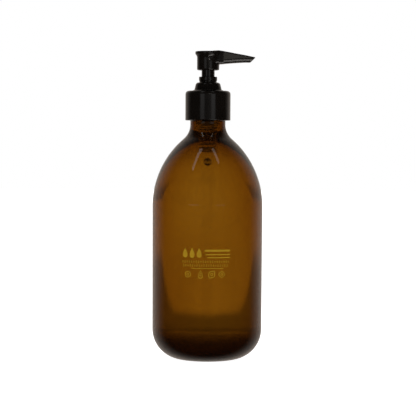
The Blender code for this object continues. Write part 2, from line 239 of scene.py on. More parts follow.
def turned(
    name: str,
    corners: Sequence[Corner],
    angles: Array,
    spacing: float = 0.5,
    relief: Callable[[Array, Array, Array], tuple[Array, Array]] | None = None,
) -> Piece:
    """Surface of revolution: (r cos a, r sin a, z) for each outline point and each angle a.

    Args:
        name: Name of the piece.
        corners: The outline, either a loop or a line whose two ends lie on the axis, to within
            a rounding error.
        angles: The angles a in radians, rising.
        spacing: Longest step along the outline.
        relief: Gives r and z with threads, seams or waves added, from r, z and a.

    Returns:
        The piece, its faces outwards.
    """
    path = rounded(corners)
    loop = max(path[0, 0], path[-1, 0]) > ON_AXIS
    path = divided(path, spacing, loop)
    following = np.roll(path, -1, axis=0)
    if (path[:, 0] * following[:, 1] - following[:, 0] * path[:, 1]).sum() < 0:
        path = path[::-1]
    r, z, a = np.broadcast_arrays(path[:, :1], path[:, 1:], angles[None, :])
    if relief:
        r, z = relief(r, z, a)
    return make_piece(name, weave(np.stack((r * np.cos(a), r * np.sin(a), z), axis=-1), loop))


def ease(value: Array, start: float, end: float) -> Array:
    """0 before start, 1 after end, and 3t² - 2t³ between."""
    t = np.clip((value - start) / (end - start), 0, 1)
    return t * t * (3 - 2 * t)


@dataclass(frozen=True)
class Thread:
    """One right-handed screw ridge.

    Attributes:
        start: Height where the ridge starts, at angle 0.
        depth: Height of the ridge from the wall, negative if it points inwards.
        foot: Half the ridge's width at the wall.
        crest: Half its width at the top.
        lead: Rise in one turn.
        turns: Length of the ridge in turns.
    """

    start: float
    depth: float
    foot: float
    crest: float
    lead: float = 25.4 / 6
    turns: float = 1.5

    def lift(self, z: Array, a: Array) -> Array:
        """How far the ridge stands out of the wall at height z and angle a.

        It is the depth, eased off from crest to foot with the distance to the helix
        start + lead * turn, and eased off over the first and last eighth of a turn.
        """
        best = np.zeros(z.shape)
        for lap in range(math.ceil(self.turns) + 1):
            turn = a / (2 * np.pi) + lap
            away = np.abs(z - self.start - self.lead * turn)
            run_out = ease(turn, 0, 0.125) * (1 - ease(turn, self.turns - 0.125, self.turns))
            best = np.maximum(best, (1 - ease(away, self.crest, self.foot)) * run_out)
        return self.depth * best


def outline_distance(r: Array, z: Array, path: Array) -> Array:
    """Signed distance from points (r, z) to a closed outline, negative inside it.

    It is the distance to the nearest side. A point is inside if a line from it crosses the
    outline an odd number of times.

    Args:
        r: Radii of the points.
        z: Heights of the points.
        path: The outline's points, one row each.

    Returns:
        The distances, in the shape of r.
    """
    nearest = np.full(r.shape, np.inf)
    inside = np.zeros(r.shape, bool)
    for (r0, z0), (r1, z1) in zip(path, np.roll(path, -1, axis=0)):
        dr, dz = r1 - r0, z1 - z0
        t = np.clip(((r - r0) * dr + (z - z0) * dz) / (dr * dr + dz * dz), 0, 1)
        nearest = np.minimum(nearest, (r - r0 - t * dr) ** 2 + (z - z0 - t * dz) ** 2)
        if dz:
            inside ^= ((z0 > z) != (z1 > z)) & (r < r0 + (z - z0) * dr / dz)
    return np.where(inside, -1, 1) * np.sqrt(nearest)


def smooth_union(a: Array, b: Array, fillet: float) -> Array:
    """The lesser of two distances, with a fillet where they are nearly equal."""
    h = np.clip(fillet - np.abs(a - b), 0, None)
    return np.minimum(a, b) - h * h / (4 * fillet)


def level_surface(
    field: Callable[[Array], Array], low: Array, high: Array, step: float
) -> tuple[Array, Array]:
    """The surface where a field is zero, as points and four-cornered faces.

    Each cell of a grid that the surface crosses gets one point, the mean of the crossings on
    the cell's edges. Each crossed grid edge gets one face, between the four cells round it. The
    points then move along the field's slope on to the surface, by field / |slope|.

    Args:
        field: Value at each point, negative inside the solid.
        low: Lowest corner of the grid.
        high: Highest corner of the grid.
        step: Size of a cell.

    Returns:
        The points, and the faces turned outwards.
    """
    axes = [np.arange(low[k] - 1.5 * step, high[k] + 2.5 * step, step) for k in range(3)]
    grid = np.stack(np.meshgrid(*axes, indexing="ij"), axis=-1)
    value = field(grid)
    cells = tuple(size - 1 for size in value.shape)
    total, count = np.zeros((*cells, 3)), np.zeros(cells)
    crossings = []
    for axis in range(3):
        first = np.moveaxis(value, axis, 0)[:-1]
        second = np.moveaxis(value, axis, 0)[1:]
        crossed = (first < 0) != (second < 0)
        share = np.where(crossed, first / np.where(crossed, first - second, 1), 0)
        crossed, share = np.moveaxis(crossed, 0, axis), np.moveaxis(share, 0, axis)
        edge = tuple(slice(0, n) for n in crossed.shape)
        spot = grid[edge] + share[..., None] * step * np.eye(3)[axis]
        spot *= crossed[..., None]
        for u in (0, 1):
            for v in (0, 1):
                shift = [0, 0, 0]
                shift[(axis + 1) % 3], shift[(axis + 2) % 3] = u, v
                near = tuple(slice(s, s + n) for s, n in zip(shift, cells))
                total += spot[near]
                count += crossed[near]
        crossings.append(crossed)
    number = np.full(cells, -1)
    number[count > 0] = np.arange((count > 0).sum())
    faces = []
    for axis, crossed in enumerate(crossings):
        u, v = np.eye(3, dtype=int)[[(axis + 1) % 3, (axis + 2) % 3]]
        at = np.argwhere(crossed)
        ring = [number[tuple((at - move).T)] for move in (u + v, v, 0 * u, u)]
        ring = np.stack(ring, axis=-1)
        outward = value[tuple(at.T)] < 0
        faces.append(np.where(outward[:, None], ring, ring[:, ::-1]))
    points = total[count > 0] / count[count > 0][:, None]
    for _ in range(4):
        probe = 0.1 * step * np.eye(3)
        slope = np.stack(
            [field(points + p) - field(points - p) for p in probe], axis=-1
        ) / (0.2 * step)
        move = field(points) / np.maximum((slope ** 2).sum(axis=-1), 0.25)
        points = points - np.clip(move, -0.3 * step, 0.3 * step)[:, None] * slope
    return points, np.concatenate(faces)


# ---------------------------------------------------------------- finishes


def add_node(
    tree: Tree, kind: str, inputs: dict | None = None, **settings: object
) -> bpy.types.Node:
    """A shader node with its settings, and its inputs set to values or linked to sockets."""
    node = tree.nodes.new("ShaderNode" + kind)
    for name, value in settings.items():
        setattr(node, name, value)
    for name, value in (inputs or {}).items():
        if isinstance(value, Socket):
            tree.links.new(value, node.inputs[name])
        else:
            node.inputs[name].default_value = value
    return node


def maths(tree: Tree, operation: str, *values: object) -> Socket:
    """The result of one step of arithmetic on numbers or sockets."""
    return add_node(tree, "Math", dict(enumerate(values)), operation=operation).outputs[0]


def product(tree: Tree, first: Socket, *others: object) -> Socket:
    """The values multiplied together."""
    for other in others:
        first = maths(tree, "MULTIPLY", first, other)
    return first


def ramp(
    tree: Tree, value: Socket, start: object, end: object, low: float = 0.0, high: float = 1.0
) -> Socket:
    """Goes softly from low to high as the value goes from start to end."""
    return add_node(tree, "MapRange", {
        "Value": value, "From Min": start, "From Max": end, "To Min": low, "To Max": high,
    }, interpolation_type="SMOOTHSTEP").outputs["Result"]


def mixed(tree: Tree, factor: Socket, first: object, second: object) -> Socket:
    """The first colour at factor 0 and the second at factor 1."""
    mix = tree.nodes.new("ShaderNodeMix")
    mix.data_type = "RGBA"
    tree.links.new(factor, mix.inputs["Factor"])
    for socket, colour in ((mix.inputs[6], first), (mix.inputs[7], second)):
        if isinstance(colour, Socket):
            tree.links.new(colour, socket)
        else:
            socket.default_value = (*colour, 1.0)
    return mix.outputs[2]


def make_group(
    name: str, inputs: dict[str, str], outputs: dict[str, str]
) -> tuple[Tree, bpy.types.Node, bpy.types.Node]:
    """An empty node group with its two ends.

    Args:
        name: Name of the group.
        inputs: Socket type of each input by name.
        outputs: Socket type of each output by name.

    Returns:
        The group, its input node and its output node.
    """
    group = bpy.data.node_groups.new(name, "ShaderNodeTree")
    for direction, sockets in (("INPUT", inputs), ("OUTPUT", outputs)):
        for socket, kind in sockets.items():
            group.interface.new_socket(
                name=socket, in_out=direction, socket_type="NodeSocket" + kind
            )
    return group, group.nodes.new("NodeGroupInput"), group.nodes.new("NodeGroupOutput")


def surface_grain() -> Tree:
    """Group for the skin of any moulded or blown piece.

    Grain is fine noise, Cloud is broad soft noise, and Specks is a mask of small sparse dots,
    which dust, seeds and pores use. All are from 0 to 1.
    """
    name = "surface_grain"
    if name in bpy.data.node_groups:
        return bpy.data.node_groups[name]
    group, start, end = make_group(
        name,
        {"Position": "Vector", "Grain Scale": "Float", "Cloud Scale": "Float",
         "Speck Scale": "Float", "Speck Size": "Float"},
        {"Grain": "Float", "Cloud": "Float", "Specks": "Float"},
    )
    place = start.outputs["Position"]
    grain = add_node(group, "TexNoise", {
        "Vector": place, "Scale": start.outputs["Grain Scale"], "Detail": 3.0, "Roughness": 0.6,
    })
    cloud = add_node(group, "TexNoise", {
        "Vector": place, "Scale": start.outputs["Cloud Scale"], "Detail": 2.0, "Roughness": 0.5,
    })
    cells = add_node(group, "TexVoronoi", {
        "Vector": place, "Scale": start.outputs["Speck Scale"],
    })
    edge = maths(group, "LESS_THAN", cells.outputs["Distance"], start.outputs["Speck Size"])
    sparse = add_node(group, "SeparateColor", {"Color": cells.outputs["Color"]})
    dotted_share = 0.35
    chosen = maths(group, "LESS_THAN", sparse.outputs["Red"], dotted_share)
    specks = maths(group, "MULTIPLY", edge, chosen)
    group.links.new(grain.outputs["Fac"], end.inputs["Grain"])
    group.links.new(cloud.outputs["Fac"], end.inputs["Cloud"])
    group.links.new(specks, end.inputs["Specks"])
    return group


def handling_marks() -> Tree:
    """Group for smudges and rub marks: broad noise, bent by finer noise, with a soft edge.

    Smudge is 0 on clean surface and 1 in a mark. Streak is noise drawn out along Z.
    """
    name = "handling_marks"
    if name in bpy.data.node_groups:
        return bpy.data.node_groups[name]
    group, start, end = make_group(
        name,
        {"Position": "Vector", "Scale": "Float", "Cover": "Float"},
        {"Smudge": "Float", "Streak": "Float"},
    )
    place = start.outputs["Position"]
    blot = add_node(group, "TexNoise", {
        "Vector": place, "Scale": start.outputs["Scale"], "Detail": 4.0, "Distortion": 0.8,
    })
    edge = maths(group, "SUBTRACT", 1.0, start.outputs["Cover"])
    smudge = ramp(group, blot.outputs["Fac"], edge, 1.0)
    drawn = add_node(group, "Mapping", {"Vector": place, "Scale": (1.0, 1.0, 0.12)})
    streak = add_node(group, "TexNoise", {
        "Vector": drawn.outputs["Vector"], "Scale": start.outputs["Scale"], "Detail": 5.0,
    })
    group.links.new(smudge, end.inputs["Smudge"])
    group.links.new(streak.outputs["Fac"], end.inputs["Streak"])
    return group


class Skin:
    """A material with a Principled shader, and the shared surface groups already placed in it."""

    def __init__(
        self, name: str, grain: float, cloud: float, speck: float = 400.0,
        speck_size: float = 0.2, marks: float = 40.0, cover: float = 0.5,
    ) -> None:
        """Makes the material.

        Args:
            name: Name of the material.
            grain: Scale of the fine noise, in waves to the metre.
            cloud: Scale of the broad noise.
            speck: Scale of the sparse dots.
            speck_size: Size of a dot as a share of its cell.
            marks: Scale of the handling marks.
            cover: Share of the surface that the marks reach.
        """
        self.material = bpy.data.materials.new(name)
        self.material.use_nodes = True
        self.tree = self.material.node_tree
        self.shader = self.tree.nodes["Principled BSDF"]
        place = add_node(self.tree, "TexCoord").outputs["Object"]
        self.place = place
        self.skin = add_node(self.tree, "Group", node_tree=surface_grain())
        self.marks = add_node(self.tree, "Group", node_tree=handling_marks())
        for node, values in (
            (self.skin, {"Grain Scale": grain, "Cloud Scale": cloud, "Speck Scale": speck,
                         "Speck Size": speck_size}),
            (self.marks, {"Scale": marks, "Cover": cover}),
        ):
            self.tree.links.new(place, node.inputs["Position"])
            for socket, value in values.items():
                node.inputs[socket].default_value = value

    def set(self, **values: object) -> None:
        """Sets the shader's plain values. An underscore in a name stands for a space."""
        for name, value in values.items():
            self.shader.inputs[name.replace("_", " ")].default_value = value

    def span(self, factor: Socket, low: float, high: float) -> Socket:
        """The factor, which goes from 0 to 1, drawn out from low to high."""
        return add_node(self.tree, "MapRange", {
            "Value": factor, "To Min": low, "To Max": high,
        }).outputs["Result"]

    def blend(
        self, factor: Socket, first: object, second: object
    ) -> Socket:
        """The first colour at factor 0 and the second at factor 1."""
        return mixed(self.tree, factor, first, second)

    def feed(self, name: str, socket: Socket) -> None:
        """Links a socket into the shader."""
        self.tree.links.new(socket, self.shader.inputs[name])

    def bump(self, *heights: tuple[Socket, float]) -> None:
        """Feeds the shader's normal from a chain of bumps, each a height and its depth in mm."""
        normal = None
        for height, depth in heights:
            node = add_node(self.tree, "Bump", {"Height": height, "Distance": depth * MM})
            if normal:
                self.tree.links.new(normal, node.inputs["Normal"])
            normal = node.outputs["Normal"]
        self.feed("Normal", normal)

    def absorb(self, colour: Corner, density: float) -> None:
        """Tints what passes through, by plain absorption in the solid."""
        volume = self.tree.nodes.new("ShaderNodeVolumeAbsorption")
        volume.inputs["Color"].default_value = (*colour, 1.0)
        volume.inputs["Density"].default_value = density
        end = self.tree.nodes["Material Output"]
        self.tree.links.new(volume.outputs["Volume"], end.inputs["Volume"])


@dataclass(frozen=True)
class AmberGlass:
    """Blown amber glass: polished, with soft waves and a few seeds, and painted shade in its
    colour, darker towards the neck and the heel.

    Attributes:
        tint: Colour left by the absorption.
        density: Strength of the absorption per metre.
        ior: Index of refraction.
        neck_painted_shade: Painted shade of the neck: what one face of the neck lets through.
        heel_painted_shade: Painted shade of the heel: what one face of the heel lets through.
        neck_z: Heights in metres where the neck's painted shade starts and where it is full.
        heel_z: The same for the heel's painted shade, downwards.
    """

    tint: Corner = (0.714, 0.545, 0.0)
    density: float = 970.0
    ior: float = 1.52
    neck_painted_shade: Corner = (0.64, 0.57, 0.5)
    heel_painted_shade: Corner = (0.3, 0.3, 0.3)
    neck_z: Corner = (0.130, 0.148)
    heel_z: Corner = (0.023, 0.013)

    def material(self) -> Material:
        """Builds the glass."""
        skin = Skin("amber_glass", grain=120.0, cloud=26.0, speck=160.0, speck_size=0.05,
                    marks=22.0, cover=0.45)
        skin.set(Transmission_Weight=1.0, IOR=self.ior, Metallic=0.0)
        height = add_node(skin.tree, "SeparateXYZ", {"Vector": skin.place}).outputs["Z"]
        clear = (1.0, 1.0, 1.0)
        # Painted shade: the glass's colour darkens towards the neck and towards the heel.
        colour_with_neck_shade_painted = skin.blend(ramp(skin.tree, height, *self.neck_z), clear, self.neck_painted_shade)
        colour_with_shade_painted = skin.blend(ramp(skin.tree, height, *self.heel_z), colour_with_neck_shade_painted, self.heel_painted_shade)
        skin.feed("Base Color", colour_with_shade_painted)
        skin.feed("Roughness", skin.span(skin.marks.outputs["Smudge"], 0.012, 0.05))
        skin.bump(
            (skin.skin.outputs["Cloud"], 0.12),
            (skin.skin.outputs["Grain"], 0.006),
            (skin.skin.outputs["Specks"], 0.003),
        )
        skin.absorb(self.tint, self.density)
        return skin.material


@dataclass(frozen=True)
class SoapLiquid:
    """Clear liquid soap.

    Attributes:
        tint: Colour left by the absorption.
        density: Strength of the absorption per metre.
        ior: Index of refraction.
    """

    tint: Corner = (0.93, 0.85, 0.55)
    density: float = 4.0
    ior: float = 1.36

    def material(self) -> Material:
        """Builds the liquid."""
        skin = Skin("liquid_soap", grain=90.0, cloud=30.0)
        skin.set(Base_Color=(1, 1, 1, 1), Transmission_Weight=1.0, IOR=self.ior, Metallic=0.0)
        skin.feed("Roughness", skin.span(skin.skin.outputs["Cloud"], 0.0, 0.012))
        skin.absorb(self.tint, self.density)
        return skin.material


@dataclass(frozen=True)
class MouldedBlack:
    """Black polypropylene from a polished mould, with fine grain and handling marks.

    Attributes:
        name: Name of the material.
        gloss: Roughness of clean surface.
        worn: Roughness in a smudge.
        colour: Colour of clean surface.
        bloom: Colour where the surface has clouded.
        dust: Colour of a speck of dust.
    """

    name: str
    gloss: float = 0.16
    worn: float = 0.22
    colour: Corner = (0.0018, 0.0011, 0.0006)
    bloom: Corner = (0.0034, 0.0026, 0.002)
    dust: Corner = (0.014, 0.0135, 0.013)

    def material(self) -> Material:
        """Builds the plastic."""
        skin = Skin(self.name, grain=2600.0, cloud=120.0, speck=900.0, speck_size=0.09,
                    marks=90.0, cover=0.55)
        skin.set(IOR=1.49)
        clouded = skin.blend(skin.skin.outputs["Cloud"], self.colour, self.bloom)
        dusty = skin.blend(skin.skin.outputs["Specks"], clouded, self.dust)
        skin.feed("Base Color", dusty)
        skin.feed("Roughness", skin.span(skin.marks.outputs["Smudge"], self.gloss, self.worn))
        skin.bump((skin.skin.outputs["Cloud"], 0.008), (skin.skin.outputs["Grain"], 0.0006))
        return skin.material


class Grade(Enum):
    """Grades of natural plastic: (transmission, roughness, colour)."""

    CLEAR = (1.0, 0.01, (0.997, 0.997, 0.995))
    MILKY = (0.8, 0.16, (0.93, 0.925, 0.9))


@dataclass(frozen=True)
class NaturalPlastic:
    """Unpigmented plastic of the pump's inner pieces.

    Attributes:
        name: Name of the material.
        grade: How clear it is.
        ior: Index of refraction. The clear pieces stand in soap, so theirs is against soap.
    """

    name: str
    grade: Grade
    ior: float = 1.49

    def material(self) -> Material:
        """Builds the plastic."""
        transmission, roughness, colour = self.grade.value
        skin = Skin(self.name, grain=1500.0, cloud=90.0)
        skin.set(Transmission_Weight=transmission, IOR=self.ior, Metallic=0.0)
        darker = tuple(0.96 * part for part in colour)
        skin.feed("Base Color", skin.blend(skin.skin.outputs["Cloud"], colour, darker))
        skin.feed("Roughness", skin.span(
            skin.skin.outputs["Cloud"], 0.8 * roughness, 1.2 * roughness
        ))
        skin.bump((skin.skin.outputs["Grain"], 0.001))
        return skin.material


@dataclass(frozen=True)
class ClosedFoam:
    """White closed-cell foam of the gasket."""

    colour: Corner = (0.8, 0.8, 0.77)

    def material(self) -> Material:
        """Builds the foam: fine cells, with painted shade in its pores as darker specks."""
        skin = Skin("white_foam", grain=3500.0, cloud=300.0, speck=2500.0, speck_size=0.3)
        # Painted shade: the darker specks stand for shade inside the pores.
        painted_pore_shade = tuple(0.72 * part for part in self.colour)
        skin.feed("Base Color", skin.blend(skin.skin.outputs["Specks"], self.colour, painted_pore_shade))
        skin.feed("Roughness", skin.span(skin.skin.outputs["Grain"], 0.6, 0.85))
        skin.bump((skin.skin.outputs["Grain"], 0.03))
        return skin.material


@dataclass(frozen=True)
class DrawnSteel:
    """Stainless steel of the spring and the ground balls.

    Attributes:
        name: Name of the material.
        gloss: Roughness of the smoothest part.
    """

    name: str
    gloss: float = 0.16

    def material(self) -> Material:
        """Builds the steel: drawing marks along Z, faint stains."""
        skin = Skin(self.name, grain=1800.0, cloud=200.0, marks=600.0, cover=0.5)
        skin.set(Metallic=1.0)
        skin.feed("Base Color", skin.blend(
            skin.skin.outputs["Cloud"], (0.66, 0.65, 0.63), (0.55, 0.54, 0.52)
        ))
        skin.feed("Roughness", skin.span(
            skin.marks.outputs["Streak"], self.gloss, self.gloss + 0.16
        ))
        skin.bump((skin.marks.outputs["Streak"], 0.002))
        return skin.material


@dataclass(frozen=True)
class GoldInk:
    """Gold screen ink: dull metallic flakes, a little uneven."""

    bright: Corner = (0.31, 0.182, 0.004)
    thin: Corner = (0.2, 0.112, 0.003)

    def material(self) -> Material:
        """Builds the ink."""
        skin = Skin("gold_ink", grain=1400.0, cloud=260.0, speck=2600.0, speck_size=0.25)
        skin.set(Metallic=0.0, Specular_IOR_Level=0.08)
        uneven = skin.blend(skin.skin.outputs["Cloud"], self.bright, self.thin)
        flaked = skin.blend(skin.skin.outputs["Specks"], uneven, self.thin)
        skin.feed("Base Color", flaked)
        skin.feed("Roughness", skin.span(skin.skin.outputs["Grain"], 0.35, 0.6))
        skin.bump((skin.skin.outputs["Grain"], 0.01))
        return skin.material


def fit(
    piece: Piece, body: Body, slot: Slot | None, material: Material, *nodes: str
) -> Piece:
    """Dresses a piece, puts it on its body, and hides the CAD nodes that it stands for.

    Args:
        piece: The finished piece.
        body: Body that it rides on.
        slot: Material slot of the record that its finish belongs to, if there is one. It is not
            used.
        material: Its finish.
        nodes: CAD nodes that it replaces.

    Returns:
        The piece.
    """
    piece.data.materials.append(material)
    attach(piece, body.value)
    if nodes:
        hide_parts(*nodes)
    log.info("%s rides on %s, %d faces", piece.name, body.value, len(piece.data.polygons))
    return piece


# ---------------------------------------------------------------- bottle


@dataclass
class Bottle:
    """Amber glass bottle, the soap in it and the mark printed on it.

    Attributes:
        body_r: Radius at the foot of the shoulder.
        foot_r: Radius at the top of the heel.
        heel_r: Rounding of the heel.
        shoulder_z: Height where the shoulder starts.
        shoulder_r: Radius of the shoulder's arc.
        neck_r: Radius of the neck.
        fillet_r: Rounding between the shoulder and the neck.
        wall: Thickness of the glass.
        floor_z: Height of the inner floor at the heel.
        punt: Height of the hollow under the base.
        ring_r: Inner radius of the ring that it stands on.
        bead_r: Radius of the bead under the finish.
        bead_z: Height of the bead.
        finish_r: Radius of the finish at the root of the thread.
        lip_z: Height of the lip.
        fill_z: Level of the soap.
        sides: Steps round the bottle.
    """

    body_r: float = 37.5
    foot_r: float = 37.25
    heel_r: float = 20.3
    shoulder_z: float = 104.0
    shoulder_r: float = 61.0
    neck_r: float = 11.95
    fillet_r: float = 13.0
    wall: float = 2.95
    floor_z: float = 5.5
    punt: float = 2.4
    ring_r: float = 13.6
    bead_r: float = 13.2
    bead_z: float = 163.0
    finish_r: float = 12.4
    lip_z: float = 177.6
    fill_z: float = 166.0
    sides: int = 168
    thread: Thread = Thread(start=168.6, depth=1.25, foot=1.3, crest=0.6)

    def __post_init__(self) -> None:
        """Works out the arcs' centres. Shoulder and fillet touch on the line between theirs."""
        self.shoulder = (self.body_r - self.shoulder_r, self.shoulder_z)
        across = self.neck_r + self.fillet_r - self.shoulder[0]
        up = math.sqrt((self.shoulder_r + self.fillet_r) ** 2 - across ** 2)
        self.fillet = (self.neck_r + self.fillet_r, self.shoulder_z + up)
        self.lean = math.degrees(math.atan2(up, across))
        self.bore_r = self.neck_r - self.wall

    def angles(self) -> Array:
        """Angles round the bottle, closer together at the two mould seams at 0 and 180°."""
        near = np.radians((-0.6, -0.3, 0.3, 0.6))
        return np.unique(np.concatenate((
            even_angles(self.sides), (near + 2 * np.pi) % (2 * np.pi), near + np.pi,
        )))

    def outer(self) -> list[Corner]:
        """Outside of the glass, from the middle of the punt up to the lip."""
        cap = (self.ring_r ** 2 + self.punt ** 2) / (2 * self.punt)
        edge = 90 - math.degrees(math.asin(self.ring_r / cap))
        path = arc((0, self.punt - cap), cap, 90, edge, 16)[:-1]
        path += [(self.ring_r, 0, 1.2)]
        path += arc((self.foot_r - self.heel_r, self.heel_r), self.heel_r, -90, 0, 40)
        path += arc(self.shoulder, self.shoulder_r, 0, self.lean, 60)
        path += arc(self.fillet, self.fillet_r, 180 + self.lean, 180, 20)[1:]
        bead, lip = self.bead_z, self.lip_z
        path += [
            (self.neck_r, bead - 0.6, 0.4), (self.bead_r, bead + 0.5, 0.4),
            (self.bead_r, bead + 1.7, 0.4), (self.finish_r, bead + 2.5, 0.3),
            (self.finish_r, lip, 0.7), (self.bore_r, lip, 0.5),
        ]
        return path

    def inner(self, grow: float = 0.0) -> list[Corner]:
        """Inside of the glass, from the neck down to the middle of the floor.

        Args:
            grow: How far outside the true wall the line runs.
        """
        thicker, dome = 1.35, 1.5
        heel = self.heel_r - self.wall - thicker
        inside = self.foot_r - self.wall - heel
        path = [
            (r + grow, z) for r, z in
            arc(self.fillet, self.fillet_r + self.wall, 180, 180 + self.lean, 20)
        ]
        path += arc(self.shoulder, self.shoulder_r - self.wall + grow, self.lean, 0, 60)[1:]
        path += arc((inside, self.floor_z + heel), heel + grow, 0, -90, 36)
        path += [(0, self.floor_z + dome - grow)]
        return path

    def wave(self, r: Array, z: Array, a: Array) -> Array:
        """Unevenness of the blown inner wall: three slow waves round and up the bottle."""
        body = ease(r, 15, 30)
        swell = 0.16 * np.sin(2 * a + 0.6 + z / 40) + 0.09 * np.sin(3 * a - z / 23)
        return body * (swell + 0.06 * np.sin(z / 9 + 2 * np.sin(a)))

    def relief(self, r: Array, z: Array, a: Array) -> tuple[Array, Array]:
        """Adds thread, mould seams, wall waves and the stippled ring under the base."""
        outside = np.zeros(r.shape, bool)
        top = int(np.argmax(z[:, 0] * (r[:, 0] > self.bore_r + 0.6)))
        outside[: top + 1] = True
        finish = outside & (z > self.bead_z + 2.6) & (z < self.lip_z - 0.8)
        r_new = r + np.where(finish, self.thread.lift(z, a), 0)
        seam_reach, seam_width, seam_height = 37, 0.22, 0.07
        seam = np.exp(-((np.sin(a) * seam_reach / seam_width) ** 2)) * (r > 20)
        r_new = r_new + seam_height * seam * outside * (z > 8)
        r_new = r_new + np.where(outside, 0, self.wave(r, z, a))
        ring = outside & (z < 0.02) & (r > self.ring_r + 0.6)
        knurls, knurl_height = 72, 0.12
        knurl = knurl_height * np.clip(np.sin(knurls * a), 0, 1)
        return r_new, z + np.where(ring, knurl, 0)

    def glass(self) -> Piece:
        """The bottle: one closed surface, out over the base, up to the lip and down inside."""
        path = self.outer() + self.inner()
        return turned("glass_bottle", path, self.angles(), 0.9, self.relief)

    def soap(self) -> Piece:
        """The soap, up to the neck. It wets the glass: its skin lies just inside the wall."""
        wet = 0.05
        path = [(0, self.fill_z), (self.bore_r + wet, self.fill_z, 0.3)]
        path += self.inner(wet)

        def follow(r: Array, z: Array, a: Array) -> tuple[Array, Array]:
            """Follows the waves of the wall."""
            return r + self.wave(r, z, a), z

        return turned("soap_fill", path, even_angles(self.sides), 1.2, follow)

    def build(self) -> None:
        """Makes and fits the bottle, the soap and the printed mark."""
        glass = AmberGlass().material()
        fit(self.glass(), Body.BOTTLE, Slot.GLASS, glass, "bottle")
        fit(self.soap(), Body.BOTTLE, None, SoapLiquid().material())
        mark = PrintedMark(self.body_r)
        fit(mark.mesh(), Body.BOTTLE, None, GoldInk().material())


class Sign(Enum):
    """Plain printed shapes: (power of the width, power of the height, taper to a point)."""

    BAR = (0.16, 0.16, 0.0)
    DISC = (1.0, 1.0, 0.0)
    DIAMOND = (1.7, 1.7, 0.0)
    LEAF = (2.2, 1.0, 0.0)
    DROP = (1.0, 1.0, 1.3)


@dataclass
class PrintedMark:
    """Gold mark on the front: three drops and bars, two rows of ticks, a rule and four signs.

    Attributes:
        glass_r: Radius of the glass that it is printed on.
        left: Left edge along the glass.
        right: Right edge along the glass.
        film: Thickness of the ink.
        sunk: How far the back of the ink is under the glass's skin.
    """

    glass_r: float
    left: float = -17.3
    right: float = 15.6
    film: float = 0.03
    sunk: float = 0.02

    def shape(
        self, sign: Sign, x: float, z: float, width: float, height: float, tilt: float = 0.0,
        hollow: float = 0.0,
    ) -> tuple[Array, Array]:
        """One closed film of ink, wrapped round the glass.

        Its border is (|sin t|^p, |cos t|^q) with the signs of sin and cos, narrowed to a point
        at the top where it tapers. The front runs from the middle out to the border and the
        back from the border to the middle, at the two radii of the film.

        Args:
            sign: Which shape.
            x: Middle along the glass.
            z: Height of the middle.
            width: Full width.
            height: Full height.
            tilt: Turn in the glass's face, in degrees.
            hollow: Share of the shape that is left out in its middle.

        Returns:
            Points and faces.
        """
        p, q, taper = sign.value
        t = even_angles(64)
        u = np.sign(np.sin(t)) * np.abs(np.sin(t)) ** p
        v = np.sign(np.cos(t)) * np.abs(np.cos(t)) ** q
        u = u * (np.abs(np.sin(t / 2)) ** taper if taper else 1.0) * width / 2
        v = v * height / 2
        turn = math.radians(tilt)
        u, v = u * math.cos(turn) - v * math.sin(turn), u * math.sin(turn) + v * math.cos(turn)
        rows = 9
        share = np.concatenate((np.linspace(hollow, 1, rows), np.linspace(1, hollow, rows)))
        share = share[:, None]
        front = np.arange(2 * rows)[:, None] < rows
        radius = self.glass_r + np.where(front, self.film, -self.sunk)
        angle = (x + u * share) / self.glass_r - np.pi / 2
        radius, angle = np.broadcast_arrays(radius, angle)
        grid = np.stack(
            (radius * np.cos(angle), radius * np.sin(angle), z + v * share), axis=-1
        )
        return weave(grid[:, ::-1], hollow > 0)

    def mesh(self) -> Piece:
        """All the shapes as one piece."""
        parts = []
        for x, height in ((-14.9, 6.4), (-10.1, 6.9), (-5.3, 6.4)):
            parts.append(self.shape(Sign.DROP, x, 74.8, 4.6, height))
        for z, height, start in ((76.3, 1.35, -1.6), (73.7, 0.65, -1.0), (71.7, 0.65, 0.2)):
            parts.append(self.bar(start, self.right, z, height))
        for z, offset in ((68.9, 0.0), (66.4, 0.55)):
            parts += self.ticks(z, offset)
        parts.append(self.bar(-10.4, 11.0, 64.5, 0.4))
        ring, dot, dot_ring = 0.8, 0.4, 0.55
        for sign, x, width, height, tilt in (
            (Sign.DISC, -13.0, 4.2, 4.2, 0), (Sign.DROP, -4.4, 4.4, 5.6, 0),
            (Sign.LEAF, 3.1, 4.6, 6.2, -35), (Sign.DIAMOND, 9.8, 4.8, 4.8, 0),
        ):
            parts.append(self.shape(sign, x, 60.5, width, height, tilt, ring))
            parts.append(self.shape(sign, x, 60.5, dot * width, dot * height, tilt, dot_ring))
        return make_piece("printed_mark", *parts)

    def bar(self, start: float, end: float, z: float, height: float) -> tuple[Array, Array]:
        """A straight bar from start to end."""
        return self.shape(Sign.BAR, (start + end) / 2, z, end - start, height)

    def ticks(self, z: float, offset: float) -> list[tuple[Array, Array]]:
        """A row of short upright ticks from edge to edge, every third one shorter."""
        pitch = 1.55
        count = int((self.right - self.left - offset) / pitch)
        return [
            self.shape(Sign.BAR, self.left + offset + pitch * (i + 0.5), z, 0.4,
                       1.1 if i % 3 == 2 else 1.7)
            for i in range(count)
        ]


# ---------------------------------------------------------------- closure


